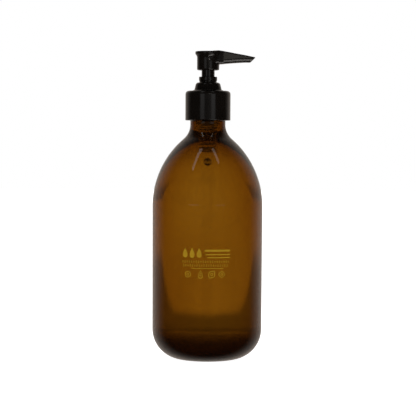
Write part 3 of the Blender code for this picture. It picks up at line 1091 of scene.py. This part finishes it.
@dataclass
class Closure:
    """Screw collar, bell ring and gasket.

    Attributes:
        collar_r: Outer radius of the collar.
        bore_r: Inner radius at the root of its thread.
        bottom_z: Lower edge of the collar.
        top_z: Height of its top at the edge.
        roof_z: Underside of its top.
        edge_r: Rounding of the top edge.
        hole_r: Radius of the hole in its top.
        flange_z: Underside of the bell ring's flange.
        flange_r: Radius of the flanges and the gasket.
        guide_r: Radius of the guide bore round the stem.
        ring_r: Radius of the ring at the top of the bell.
        ring_z: Height of the top of the ring.
        gasket_z: Underside of the gasket.
        sides: Steps round each piece.
    """

    collar_r: float = 15.35
    bore_r: float = 14.0
    bottom_z: float = 162.7
    top_z: float = 182.7
    roof_z: float = 181.4
    edge_r: float = 2.2
    hole_r: float = 9.6
    flange_z: float = 180.4
    flange_r: float = 12.4
    guide_r: float = 4.65
    ring_r: float = 6.17
    ring_z: float = 192.3
    gasket_z: float = 177.8
    sides: int = 160
    thread: Thread = Thread(start=166.883, depth=-1.25, foot=0.75, crest=0.35)

    def collar(self) -> Piece:
        """Smooth collar: straight wall, rolled lower edge, round top edge and a raised hole rim.

        The thread is a ridge on the inner wall.
        """
        low, high = self.bottom_z, self.top_z
        corners = [
            (self.bore_r, low, 0.4), (self.collar_r, low, 0.35), (self.collar_r, high, self.edge_r),
            (self.hole_r + 0.9, high + 0.1, 1.0), (self.hole_r + 0.35, high + 0.6, 0.2),
            (self.hole_r, high + 0.6, 0.2), (self.hole_r, self.roof_z, 0.15),
            (self.bore_r, self.roof_z, 0.5),
        ]

        def relief(r: Array, z: Array, a: Array) -> tuple[Array, Array]:
            """Adds the thread to the inner wall."""
            wall = (r < self.bore_r + 0.01) & (r > self.flange_r) & (z < self.roof_z - 0.6)
            return r + np.where(wall & (z > low + 0.5), self.thread.lift(z, a), 0), z

        return turned("screw_collar", corners, even_angles(self.sides), 0.3, relief)

    def bell(self) -> Piece:
        """Bell ring: flange, hollow bell, waist, ring with a recessed mouth, long sleeve."""
        low, waist = self.flange_z, self.ring_r - 0.3
        corners = [
            (self.guide_r, self.ring_z - 2.0), (self.guide_r + 0.65, self.ring_z - 1.6),
            (self.guide_r + 0.65, self.ring_z, 0.15), (self.ring_r, self.ring_z, 0.3),
            (self.ring_r, self.ring_z - 2.5, 0.2), (waist, self.ring_z - 2.8, 0.2),
            (waist, 188.45, 0.35),
        ]
        corners += arc((6.4, 186.3), 2.15, 78, 14, 14)
        corners += [
            (9.3, 183.4, 0.3), (9.3, low + 0.8, 0.1), (self.flange_r, low + 0.8, 0.2),
            (self.flange_r, low, 0.2), (8.3, low), (8.2, 184.5, 0.8), (7.4, 186.6, 0.4),
            (6.3, 186.6, 0.3), (6.3, low - 0.7, 0.2), (7.0, low - 1.0, 0.2), (7.0, 172.0, 0.2),
            (self.guide_r, 172.0, 0.15),
        ]
        return turned("bell_ring", corners, even_angles(self.sides), 0.35)

    def gasket(self) -> Piece:
        """Flat foam ring, its cut edges a little crushed."""
        low, high = self.gasket_z, self.gasket_z + 1.0
        corners = [
            (8.55, low, 0.15), (self.flange_r, low, 0.2), (self.flange_r, high, 0.2),
            (8.55, high, 0.15),
        ]

        def crush(r: Array, z: Array, a: Array) -> tuple[Array, Array]:
            """Lets the edges wander in by a few hundredths."""
            return r - 0.03 * (1 + np.sin(9 * a) * np.sin(5 * a + 1)) * (r > 11), z

        return turned("foam_gasket", corners, even_angles(96), 0.3, crush)

    def build(self) -> list[Piece]:
        """Makes and fits the three pieces, and returns the two black ones."""
        fit(self.gasket(), Body.PUMP, Slot.FOAM, ClosedFoam().material(), "bottle_gasket")
        black = MouldedBlack("collar_black")
        bell = MouldedBlack("bell_black", gloss=0.15, worn=0.21)
        return [
            fit(self.collar(), Body.COLLAR, Slot.BLACK, black.material(), "collar"),
            fit(self.bell(), Body.PUMP, Slot.BLACK, bell.material(), "chaplet"),
        ]


# ---------------------------------------------------------------- head


@dataclass
class PressHead:
    """Head with thumb lip, skirt and nozzle, and the hollow stem under it.

    Attributes:
        skirt_r: Radius of the skirt.
        bottom_z: Lower edge of the skirt.
        top_z: Height of the rim of the top.
        lip_r: Radius of the thumb lip.
        tip_x: End of the nozzle.
        tip_z: Height of the plane of its tip there.
        root_x: Where the flared root ends and the flat sides start.
        stem_r: Radius of the stem.
        cell: Cell of the grid that the head is worked out on.
    """

    skirt_r: float = 7.54
    bottom_z: float = 196.8
    top_z: float = 209.6
    lip_r: float = 8.75
    tip_x: float = 32.2
    tip_z: float = 205.6
    root_x: float = 10.4
    stem_r: float = 4.43
    cell: float = 0.22

    def __post_init__(self) -> None:
        """Works out the turned outlines. Inside the solid they run past the axis."""
        low, high, past = self.bottom_z, self.top_z, -4.0
        body = [(past, low), (self.skirt_r, low, 0.8)]
        body += arc((self.skirt_r + 3.6, high - 4.6), 3.6, 180, 131, 8)
        body += [
            (self.lip_r, high - 1.3, 0.4), (self.lip_r, high, 0.55), (6.9, high - 0.1, 1.5),
            (5.0, high - 0.42, 3.0), (past, high - 0.5),
        ]
        self.body = rounded(body, 5)
        socket = self.stem_r + 0.15
        self.hollow = rounded([
            (past, low - 3), (6.55, low - 3), (6.55, 203.0, 0.4), (5.6, 203.0, 0.3),
            (5.6, 200.9, 0.2), (socket, 200.9, 0.2), (socket, 204.4), (2.9, 204.4),
            (2.9, 207.5, 0.3), (1.0, 207.5, 0.2), (1.0, 205.7, 0.2), (past, 205.7),
        ], 4)

    def half_width(self, x: Array) -> Array:
        """Half the nozzle's width: a steep wedge up to the root's end, then a slow taper."""
        past = x - self.root_x
        return 4.55 - 0.325 * np.minimum(past, 0) - 0.086 * np.maximum(past, 0)

    def nozzle(self, x: Array, y: Array, z: Array) -> Array:
        """Distance to the nozzle: a rounded box across, between its top and bottom lines.

        Its lower half is tucked in by the square of the way down. The tip is a plane that leans
        back by 45°, with a small rounding.
        """
        stations = np.array((0.0, 4.0, 7.2, 9.6, 12.0, 15.0, 18.0, 25.0, 32.0))
        tops = np.array((208.8, 209.8, 210.05, 209.85, 209.4, 208.9, 208.3, 207.1, 205.7))
        bottoms = np.array((203.6, 202.0, 200.9, 200.95, 201.2, 201.45, 201.7, 202.1, 202.0))
        top, bottom = np.interp(x, stations, tops), np.interp(x, stations, bottoms)
        tuck_height, tuck_depth, draft, round_r = 3.0, 0.85, 0.05, 0.9
        tuck = np.clip((bottom + tuck_height - z) / tuck_height, 0, 1)
        side = self.half_width(x) - draft * (z - bottom) - tuck_depth * tuck * tuck
        across = np.abs(y) - side + round_r
        up = np.abs(z - (top + bottom) / 2) - (top - bottom) / 2 + round_r
        box = (
            np.hypot(np.maximum(across, 0), np.maximum(up, 0))
            + np.minimum(np.maximum(across, up), 0) - round_r
        )
        tip = (x - self.tip_x + (self.tip_z - z)) / math.sqrt(2)
        back = 0.5 - x
        return np.maximum(-smooth_union(-box, -tip, 0.5), back)

    def field(self, point: Array) -> Array:
        """Distance to the head: body and nozzle joined by a fillet, less hollow and channel."""
        x, y, z = point[..., 0], point[..., 1], point[..., 2]
        r = np.hypot(x, y)
        solid = smooth_union(outline_distance(r, z, self.body), self.nozzle(x, y, z), 1.1)
        slope = (206.2 - 203.7) / 32.0
        along = np.maximum(x - 2.0, 0)
        channel = np.hypot(y, z - 206.2 + slope * along) - 1.3 + 0.008 * along
        channel = np.maximum(channel, 2.0 - x)
        cut = np.minimum(outline_distance(r, z, self.hollow), channel)
        return np.maximum(solid, -cut)

    def head(self) -> Piece:
        """The head, as the surface where its field is zero."""
        low, high = (np.array(corner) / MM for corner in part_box("actuator_head"))
        return make_piece("press_head", level_surface(self.field, low, high, self.cell))

    def stem(self) -> Piece:
        """Hollow stem: tenon and shoulder below, ball pocket and seat on top."""
        corners = [
            (2.0, 158.8, 0.2), (3.2, 158.8, 0.3), (3.2, 168.4, 0.15), (self.stem_r, 168.4, 0.2),
            (self.stem_r, 204.2, 0.4), (2.75, 204.2, 0.2), (2.75, 201.4), (2.0, 200.3, 0.2),
        ]
        return turned("piston_stem", corners, even_angles(96), 0.5)

    def build(self) -> list[Piece]:
        """Makes and fits head and stem, and returns them."""
        black = MouldedBlack("head_black", gloss=0.18, worn=0.24)
        stem = MouldedBlack("stem_black", gloss=0.14, worn=0.2)
        return [
            fit(self.head(), Body.HEAD, Slot.BLACK, black.material(), "actuator_head"),
            fit(self.stem(), Body.HEAD, Slot.BLACK, stem.material(), "stem"),
        ]


# ---------------------------------------------------------------- pump works


@dataclass
class PumpWorks:
    """The works in the bottle: housing, seal, piston, retainers, spring, balls and dip tube.

    Attributes:
        barrel_r: Outer radius of the housing's barrel.
        chamber_r: Radius of the chamber.
        spring_r: Mean radius of the spring.
        wire_r: Radius of its wire.
        spring_low: Height of the spring's lower end.
        spring_high: Height of its upper end at rest.
        turns: Number of turns of the spring.
        stroke: Full stroke of the pump. It is not used.
        ball_r: Radius of the check balls.
    """

    barrel_r: float = 7.2
    chamber_r: float = 6.03
    spring_r: float = 4.3
    wire_r: float = 0.5
    spring_low: float = 136.2
    spring_high: float = 158.1
    turns: float = 9.0
    stroke: float = 8.2
    ball_r: float = 2.4

    def housing(self) -> Piece:
        """Pump cylinder: flange, counterbore, chamber, inlet seat and tube socket."""
        outer, socket = self.barrel_r + 1.1, 3.2
        corners = [
            (7.2, 180.2, 0.15), (12.4, 180.2, 0.2), (12.4, 179.0, 0.2), (outer, 179.0, 0.3),
            (outer, 170.2, 1.0), (self.barrel_r, 167.2, 1.0), (self.barrel_r, 133.8, 0.8),
            (4.3, 129.5, 0.8), (4.3, 117.4, 0.3), (socket, 117.4, 0.2), (socket, 127.8),
            (1.7, 127.8), (1.9, 128.6), (3.0, 130.1, 0.3), (3.0, 133.8, 0.2),
            (self.chamber_r, 133.8, 0.2), (self.chamber_r, 170.2, 0.1), (7.2, 170.2),
        ]
        return turned("pump_housing", corners, even_angles(96), 1.0)

    def seal(self) -> Piece:
        """Wiper ring round the stem."""
        corners = [
            (4.58, 170.4, 0.1), (5.08, 170.4, 0.1), (5.48, 170.9, 0.15), (5.6, 170.4, 0.1),
            (7.0, 170.4, 0.15), (7.0, 171.8, 0.15), (5.18, 171.8, 0.2), (4.58, 171.1, 0.1),
        ]
        return turned("wiper_seal", corners, even_angles(96), 0.3)

    def piston(self) -> Piece:
        """Piston with a thin lip at each end."""
        lip = self.chamber_r - 0.15
        corners = [
            (lip - 0.5, 170.0, 0.1), (4.65, 169.6, 0.15), (4.65, 168.2, 0.1), (3.35, 168.2, 0.1),
            (3.35, 161.3, 0.1), (4.6, 161.3, 0.2), (lip - 0.5, 160.2, 0.1), (lip, 160.2, 0.1),
            (lip, 161.4, 0.5), (lip - 0.7, 163.0, 0.8), (lip - 0.7, 167.4, 0.8),
            (lip, 168.8, 0.5), (lip, 170.0, 0.1),
        ]
        return turned("double_lip_piston", corners, even_angles(96), 0.4)

    def piston_ring(self) -> Piece:
        """Ring on the stem's end that holds the piston and takes the spring."""
        corners = [
            (2.3, 158.3, 0.1), (5.2, 158.3, 0.2), (5.2, 159.9, 0.2), (4.35, 160.0, 0.1),
            (4.35, 161.1, 0.15), (3.35, 161.1, 0.15), (3.35, 158.65), (2.3, 158.65),
        ]
        return turned("piston_ring", corners, even_angles(96), 0.4)

    def tube(self) -> Piece:
        """Dip tube: its foot is cut at 30°, so it can't seal on the floor."""
        low, high = 9.8, 127.6
        corners = [(2.25, low), (3.05, low), (3.05, high), (2.25, high)]

        def slant(r: Array, z: Array, a: Array) -> tuple[Array, Array]:
            """Shears the foot, less and less over the tube's lowest 20 mm."""
            rise = math.tan(math.radians(30)) * (r * np.cos(a) + 3.05)
            return r, z + rise * (1 - np.clip((z - low) / 20, 0, 1))

        return turned("dip_tube_clear", corners, even_angles(64), 1.0, slant)

    def spring(self) -> Piece:
        """Return spring: a wire carried along a helix, its two ends ground flat.

        The helix is (R cos 2πt, R sin 2πt, z(t)). It climbs 1.15 mm in each end turn and evenly
        between them. A ring of wire is spanned by the spoke from the axis and the direction at
        right angles to it and to the wire. Heights past the ground ends are cut back to them.
        """
        end_pitch, ground = 1.15, 0.12
        low, high = self.spring_low + self.wire_r - ground, self.spring_high - self.wire_r + ground
        t = np.linspace(0, self.turns, int(self.turns * 72))
        middle = np.clip(t - 1, 0, self.turns - 2)
        pitch = (high - low - 2 * end_pitch) / (self.turns - 2)
        angle = 2 * np.pi * t
        spoke = np.stack((np.cos(angle), np.sin(angle), 0 * t), axis=-1)
        centre = self.spring_r * spoke
        centre[:, 2] = low + end_pitch * (t - middle) + pitch * middle
        along = np.gradient(centre, axis=0)
        along /= np.linalg.norm(along, axis=1)[:, None]
        upright = np.cross(along, spoke)
        ring = even_angles(14)[:, None]
        grid = centre[:, None] + self.wire_r * (
            np.cos(ring) * spoke[:, None] + np.sin(ring) * upright[:, None]
        )
        ends = np.repeat(centre[[0, -1], None], len(ring), axis=1)
        grid = np.concatenate((ends[:1], grid, ends[1:]))
        grid[..., 2] = np.clip(grid[..., 2], self.spring_low, self.spring_high)
        return make_piece("return_spring", weave(grid, False))

    def ball(self, name: str, node: str) -> Piece:
        """Ground ball in the middle of its CAD node's box."""
        low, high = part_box(node)
        centre = (low.z + high.z) / 2 / MM
        return turned(name, arc((0, centre), self.ball_r, -90, 90, 40), even_angles(72), 1.0)

    def build(self) -> None:
        """Makes and fits all the works. The ball retainer keeps its CAD mesh."""
        clear = NaturalPlastic("clear_polypropylene", Grade.CLEAR, ior=1.004).material()
        milky = NaturalPlastic("milky_polyethylene", Grade.MILKY, ior=1.1).material()
        for piece, body, finish, node in (
            (self.housing(), Body.PUMP, clear, "housing"),
            (self.tube(), Body.PUMP, clear, "dip_tube"),
            (self.seal(), Body.PUMP, milky, "stem_seal"),
            (self.piston(), Body.PISTON, milky, "piston"),
            (self.piston_ring(), Body.HEAD, milky, "piston_retainer"),
        ):
            fit(piece, body, Slot.NATURAL, finish, node)
        wire = DrawnSteel("spring_wire").material()
        spring = fit(self.spring(), Body.PUMP, Slot.STEEL, wire, "spring")
        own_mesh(spring)
        ground = DrawnSteel("ground_ball", gloss=0.08).material()
        for name, body, node in (
            ("outlet_check_ball", Body.OUTLET_BALL, "outlet_ball"),
            ("inlet_check_ball", Body.INLET_BALL, "inlet_ball"),
        ):
            fit(self.ball(name, node), body, Slot.STEEL, ground, node)


# ---------------------------------------------------------------- studio


@dataclass
class Studio:
    """Camera, pale floor, white surround, strip lights and ceiling bars.

    Attributes:
        distance: From the camera to the bottle's axis.
        height: Height of the camera.
        aim_x: Where the view's middle is across.
        aim_z: Height that the camera looks at.
        view: Width of the view at the axis.
        roll: Tilt of the camera about its own line of sight, in degrees.
        shade_sheet_r: Radius of the glowing sheet with painted shade, which only shows through the
            glass.
        through: Radiance of the surround where it shows through the glass.
        mirrored: Radiance of the surround behind the bottle where it shows in reflections.
        mirrored_front: The same in front of the bottle.
        light_distance: From the strip lights to the axis.
        left: Angles of the left strips' two edges, seen from the axis.
        right: Angles of the right strips' edges.
        split_z: Height below which the strips also light the glass.
        ceiling_z: Height of the ceiling bars.
    """

    distance: float = 1100.0
    height: float = 147.0
    aim_x: float = 0.4
    aim_z: float = 103.0
    view: float = 283.7
    roll: float = 0.3
    shade_sheet_r: float = 1500.0
    through: float = 1.04
    mirrored: float = 0.5
    mirrored_front: float = 0.018
    light_distance: float = 2000.0
    left: Corner = (-39.0, -18.0)
    right: Corner = (17.0, 37.0)
    split_z: float = 200.0
    ceiling_z: float = 930.0

    def __post_init__(self) -> None:
        """Makes the collection of black pieces, which the black_only lights shine on."""
        self.black = bpy.data.collections.new("black_pieces")

    def camera(self) -> None:
        """Adds the camera and makes it the scene's."""
        data = bpy.data.cameras.new("camera")
        data.sensor_width = 36.0
        data.lens = data.sensor_width * self.distance / self.view
        data.clip_end = 50.0
        camera = bpy.data.objects.new("camera", data)
        bpy.context.scene.collection.objects.link(camera)
        camera.location = Vector((self.aim_x, -self.distance, self.height)) * MM
        line = Vector((self.aim_x, 0, self.aim_z)) * MM - camera.location
        camera.rotation_mode = "QUATERNION"
        turn = Quaternion((0, 0, 1), math.radians(self.roll))
        camera.rotation_quaternion = line.to_track_quat("-Z", "Y") @ turn
        bpy.context.scene.camera = camera

    def lamp(
        self, name: str, place: Vector, aim: Vector, size: Corner, glow: float,
        colour: Corner = (1.0, 1.0, 1.0), black_only: bool = False,
    ) -> Piece:
        """One rectangular light, which shows in reflections but not through the glass.

        Args:
            name: Name of the light.
            place: Its middle, in millimetres.
            aim: Direction that it shines in.
            size: Its two sides.
            glow: Its radiance. Power is radiance * pi * area.
            colour: Its colour.
            black_only: Whether it is kept off everything but the black pieces.

        Returns:
            The light.
        """
        data = bpy.data.lights.new(name, "AREA")
        data.shape = "RECTANGLE"
        data.size, data.size_y = size[0] * MM, size[1] * MM
        data.energy = glow * math.pi * data.size * data.size_y
        data.color = colour
        light = bpy.data.objects.new(name, data)
        bpy.context.scene.collection.objects.link(light)
        light.location = place * MM
        light.rotation_euler = aim.to_track_quat("-Z", "Y").to_euler()
        light.visible_camera = False
        light.visible_transmission = False
        if black_only:
            light.light_linking.receiver_collection = self.black
        return light

    def strip(
        self, name: str, near: float, far: float, low: float, high: float, glow: float,
        colour: Corner = (1.0, 1.0, 1.0), black_only: bool = True,
    ) -> None:
        """One upright strip light.

        Args:
            name: Name of the light.
            near: Angle of its first edge to the right of the camera, seen from the axis.
            far: Angle of its other edge.
            low: Height of its lower end.
            high: Height of its upper end.
            glow: Its radiance.
            colour: Its colour.
            black_only: Whether it is kept off everything but the black pieces.
        """
        middle = math.radians((near + far) / 2)
        width = 2 * self.light_distance * math.tan(math.radians(abs(far - near)) / 2)
        outward = Vector((math.sin(middle), -math.cos(middle), 0))
        place = outward * self.light_distance + Vector((0, 0, (low + high) / 2))
        self.lamp(name, place, -outward, (width, high - low), glow, colour, black_only)

    def ceiling_bar(self, name: str, start: Corner, end: Corner, width: float, glow: float) -> None:
        """One bar on the ceiling, from start to end, which makes a thin streak on the shoulder."""
        first, last = Vector((*start, self.ceiling_z)), Vector((*end, self.ceiling_z))
        along = last - first
        bar = self.lamp(name, (first + last) / 2, Vector((0, 0, -1)), (along.length, width), glow)
        bar.rotation_euler = (0, 0, math.atan2(along.y, along.x))

    def disc(self, name: str, radius: float, z: float, material: Material) -> Piece:
        """A flat round sheet of the studio, not part of the dispenser."""
        reach = np.array((0.0, 0.5, 1.0))[:, None] * radius
        a = even_angles(96)[None, :]
        grid = np.stack((reach * np.cos(a), reach * np.sin(a), z + 0 * reach * a), axis=-1)
        points, faces = weave(np.concatenate((grid, grid[-1:])), False)
        keep = faces.max(axis=1) < 3 * 96
        sheet = make_piece(name, (points, faces[keep]))
        sheet.data.materials.append(material)
        return sheet

    def floor(self) -> None:
        """Pale floor, bright enough that it shows no shadow."""
        pale = Skin("pale_floor", grain=400.0, cloud=2.0)
        pale.feed("Base Color", pale.blend(
            pale.skin.outputs["Cloud"], (0.82, 0.82, 0.82), (0.8, 0.8, 0.8)
        ))
        pale.set(Roughness=0.9, Specular_IOR_Level=0.1, Emission_Color=(1, 1, 1, 1),
                 Emission_Strength=1.0)
        floor = self.disc("floor", 4000.0, -0.1, pale.material)
        floor.visible_glossy = False
        floor.visible_transmission = False

    def shade_sheet(self) -> None:
        """Glowing sheet under the bottle that the glass alone shows, with painted shade: dim round
        the bottle and as bright as the surround further out. The painted shade is a square cross,
        the same from all four sides, and it reaches further out along the diagonals. It clears
        where the sheet is seen steeply.
        """
        slant, slant_start = 1.2, 0.1
        straight_clear, round_clear, foot_reach = (0.25, 0.38), (0.6, 1.5), (0.1, 0.2)
        steepness, shaded, at_foot = (0.14, 0.3), 0.38, 0.8
        skin = Skin("glow_sheet_painted_shade", grain=400.0, cloud=8.0)
        tree = skin.tree
        skin.set(Base_Color=(0, 0, 0, 1), Roughness=1.0, Specular_IOR_Level=0.0,
                 Emission_Color=(1, 1, 1, 1))
        way = add_node(tree, "SeparateXYZ", {"Vector": skin.place})
        x_away = maths(tree, "ABSOLUTE", way.outputs["X"])
        y_away = maths(tree, "ABSOLUTE", way.outputs["Y"])
        least = maths(tree, "MINIMUM", x_away, y_away)
        drawn = maths(tree, "MULTIPLY_ADD", least, slant, -slant_start)
        aside = maths(tree, "MAXIMUM", drawn, 0.0)
        away = maths(tree, "SUBTRACT", maths(tree, "MAXIMUM", x_away, y_away), aside)
        reach = add_node(tree, "VectorMath", {0: skin.place}, operation="LENGTH").outputs["Value"]
        bright = maths(tree, "MAXIMUM", ramp(tree, away, *straight_clear),
                       ramp(tree, reach, *round_clear))
        seen_from = add_node(tree, "SeparateXYZ", {
            "Vector": add_node(tree, "NewGeometry").outputs["Incoming"],
        })
        steep = ramp(tree, seen_from.outputs["Z"], *steepness)
        # Painted shade: the sheet's glow is dimmed round the bottle, and more near its foot.
        shade = ramp(tree, maths(tree, "MAXIMUM", bright, steep), 0.0, 1.0, shaded, 1.0)
        foot = ramp(tree, reach, *foot_reach, at_foot, 1.0)
        skin.feed("Emission Strength", product(tree, shade, foot, self.through))
        shade_sheet = self.disc("glow_sheet_painted_shade", self.shade_sheet_r, -0.2, skin.material)
        shade_sheet.visible_camera = False
        shade_sheet.visible_diffuse = False
        shade_sheet.visible_glossy = False
        shade_sheet.visible_shadow = False

    def surround(self) -> None:
        """White surround. Through the glass it is bright all round, up to a little above the
        horizon. In reflections it is bright behind the bottle and dark in front.
        """
        front_to_back, horizon, overhead, diffuse = (0.1, 0.9), (0.22, 0.6), 0.6, 0.8
        plain, warm = (1.0, 1.0, 1.0), (1.0, 0.88, 0.78)
        world = bpy.data.worlds.new("surround")
        bpy.context.scene.world = world
        world.use_nodes = True
        tree = world.node_tree
        tree.nodes.clear()
        path = add_node(tree, "LightPath")
        way = add_node(tree, "SeparateXYZ", {
            "Vector": add_node(tree, "TexCoord").outputs["Generated"],
        })
        refracted = path.outputs["Is Transmission Ray"]
        straight = maths(tree, "SUBTRACT", 1.0, refracted)
        mirror = product(tree, path.outputs["Is Glossy Ray"], straight)
        behind = ramp(tree, way.outputs["Y"], *front_to_back, self.mirrored_front, self.mirrored)
        upward = ramp(tree, way.outputs["Z"], *horizon, 1.0, overhead)
        seen = product(tree, upward, self.through)
        glow = maths(tree, "MULTIPLY", mirror, behind)
        for flag, level in (
            (path.outputs["Is Camera Ray"], 1.0), (refracted, seen),
            (path.outputs["Is Diffuse Ray"], diffuse),
        ):
            glow = maths(tree, "MULTIPLY_ADD", flag, level, glow)
        tint = mixed(tree, mirror, plain, warm)
        back = add_node(tree, "Background", {"Color": tint, "Strength": glow})
        end = add_node(tree, "OutputWorld")
        tree.links.new(back.outputs["Background"], end.inputs["Surface"])

    def build(self) -> None:
        """Sets up the whole studio."""
        scene = bpy.context.scene
        scene.view_settings.view_transform = "Standard"
        scene.cycles.max_bounces = 24
        scene.cycles.transmission_bounces = 24
        self.camera()
        self.floor()
        self.shade_sheet()
        self.surround()
        for name, low, high, glows, black_only in (
            ("strip", self.split_z, 420.0, (0.5, 0.62), True),
            ("neck", 150.0, self.split_z, (0.4, 0.4), False),
        ):
            for side, edges, glow in zip(("left", "right"), (self.left, self.right), glows):
                self.strip(f"{name}_{side}", *edges, low, high, glow, black_only=black_only)
        self.strip("sky_card", -18.0, 17.0, 170.0, 300.0, 0.1, (0.82, 0.93, 1.0))
        self.strip("warm_card", 5.0, 16.0, 400.0, 760.0, 1.0, (1.0, 0.96, 0.84))
        self.lamp("low_card", Vector((150.0, -490.0, 20.0)), Vector((0, 0, 1)), (90.0, 800.0), 4.5,
                  (1.0, 0.95, 0.89), black_only=True)
        self.ceiling_bar("ceiling_left", (-168.0, -122.0), (-586.0, -607.0), 90.0, 0.9)
        self.ceiling_bar("ceiling_right", (142.0, -129.0), (368.0, -447.0), 70.0, 0.9)
        log.info("studio is set")


def main() -> None:
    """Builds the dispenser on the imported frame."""
    logging.basicConfig(level=logging.INFO, format="%(name)s: %(message)s")
    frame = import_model()
    studio = Studio()
    studio.build()
    Bottle().build()
    for piece in Closure().build() + PressHead().build():
        studio.black.objects.link(piece)
    PumpWorks().build()
    retainer = frame["nodes"]["ball_retainer"]
    retainer.data.materials.clear()
    retainer.data.materials.append(
        NaturalPlastic("retainer_polypropylene", Grade.CLEAR, ior=1.004).material()
    )


if __name__ == "__main__":
    main()
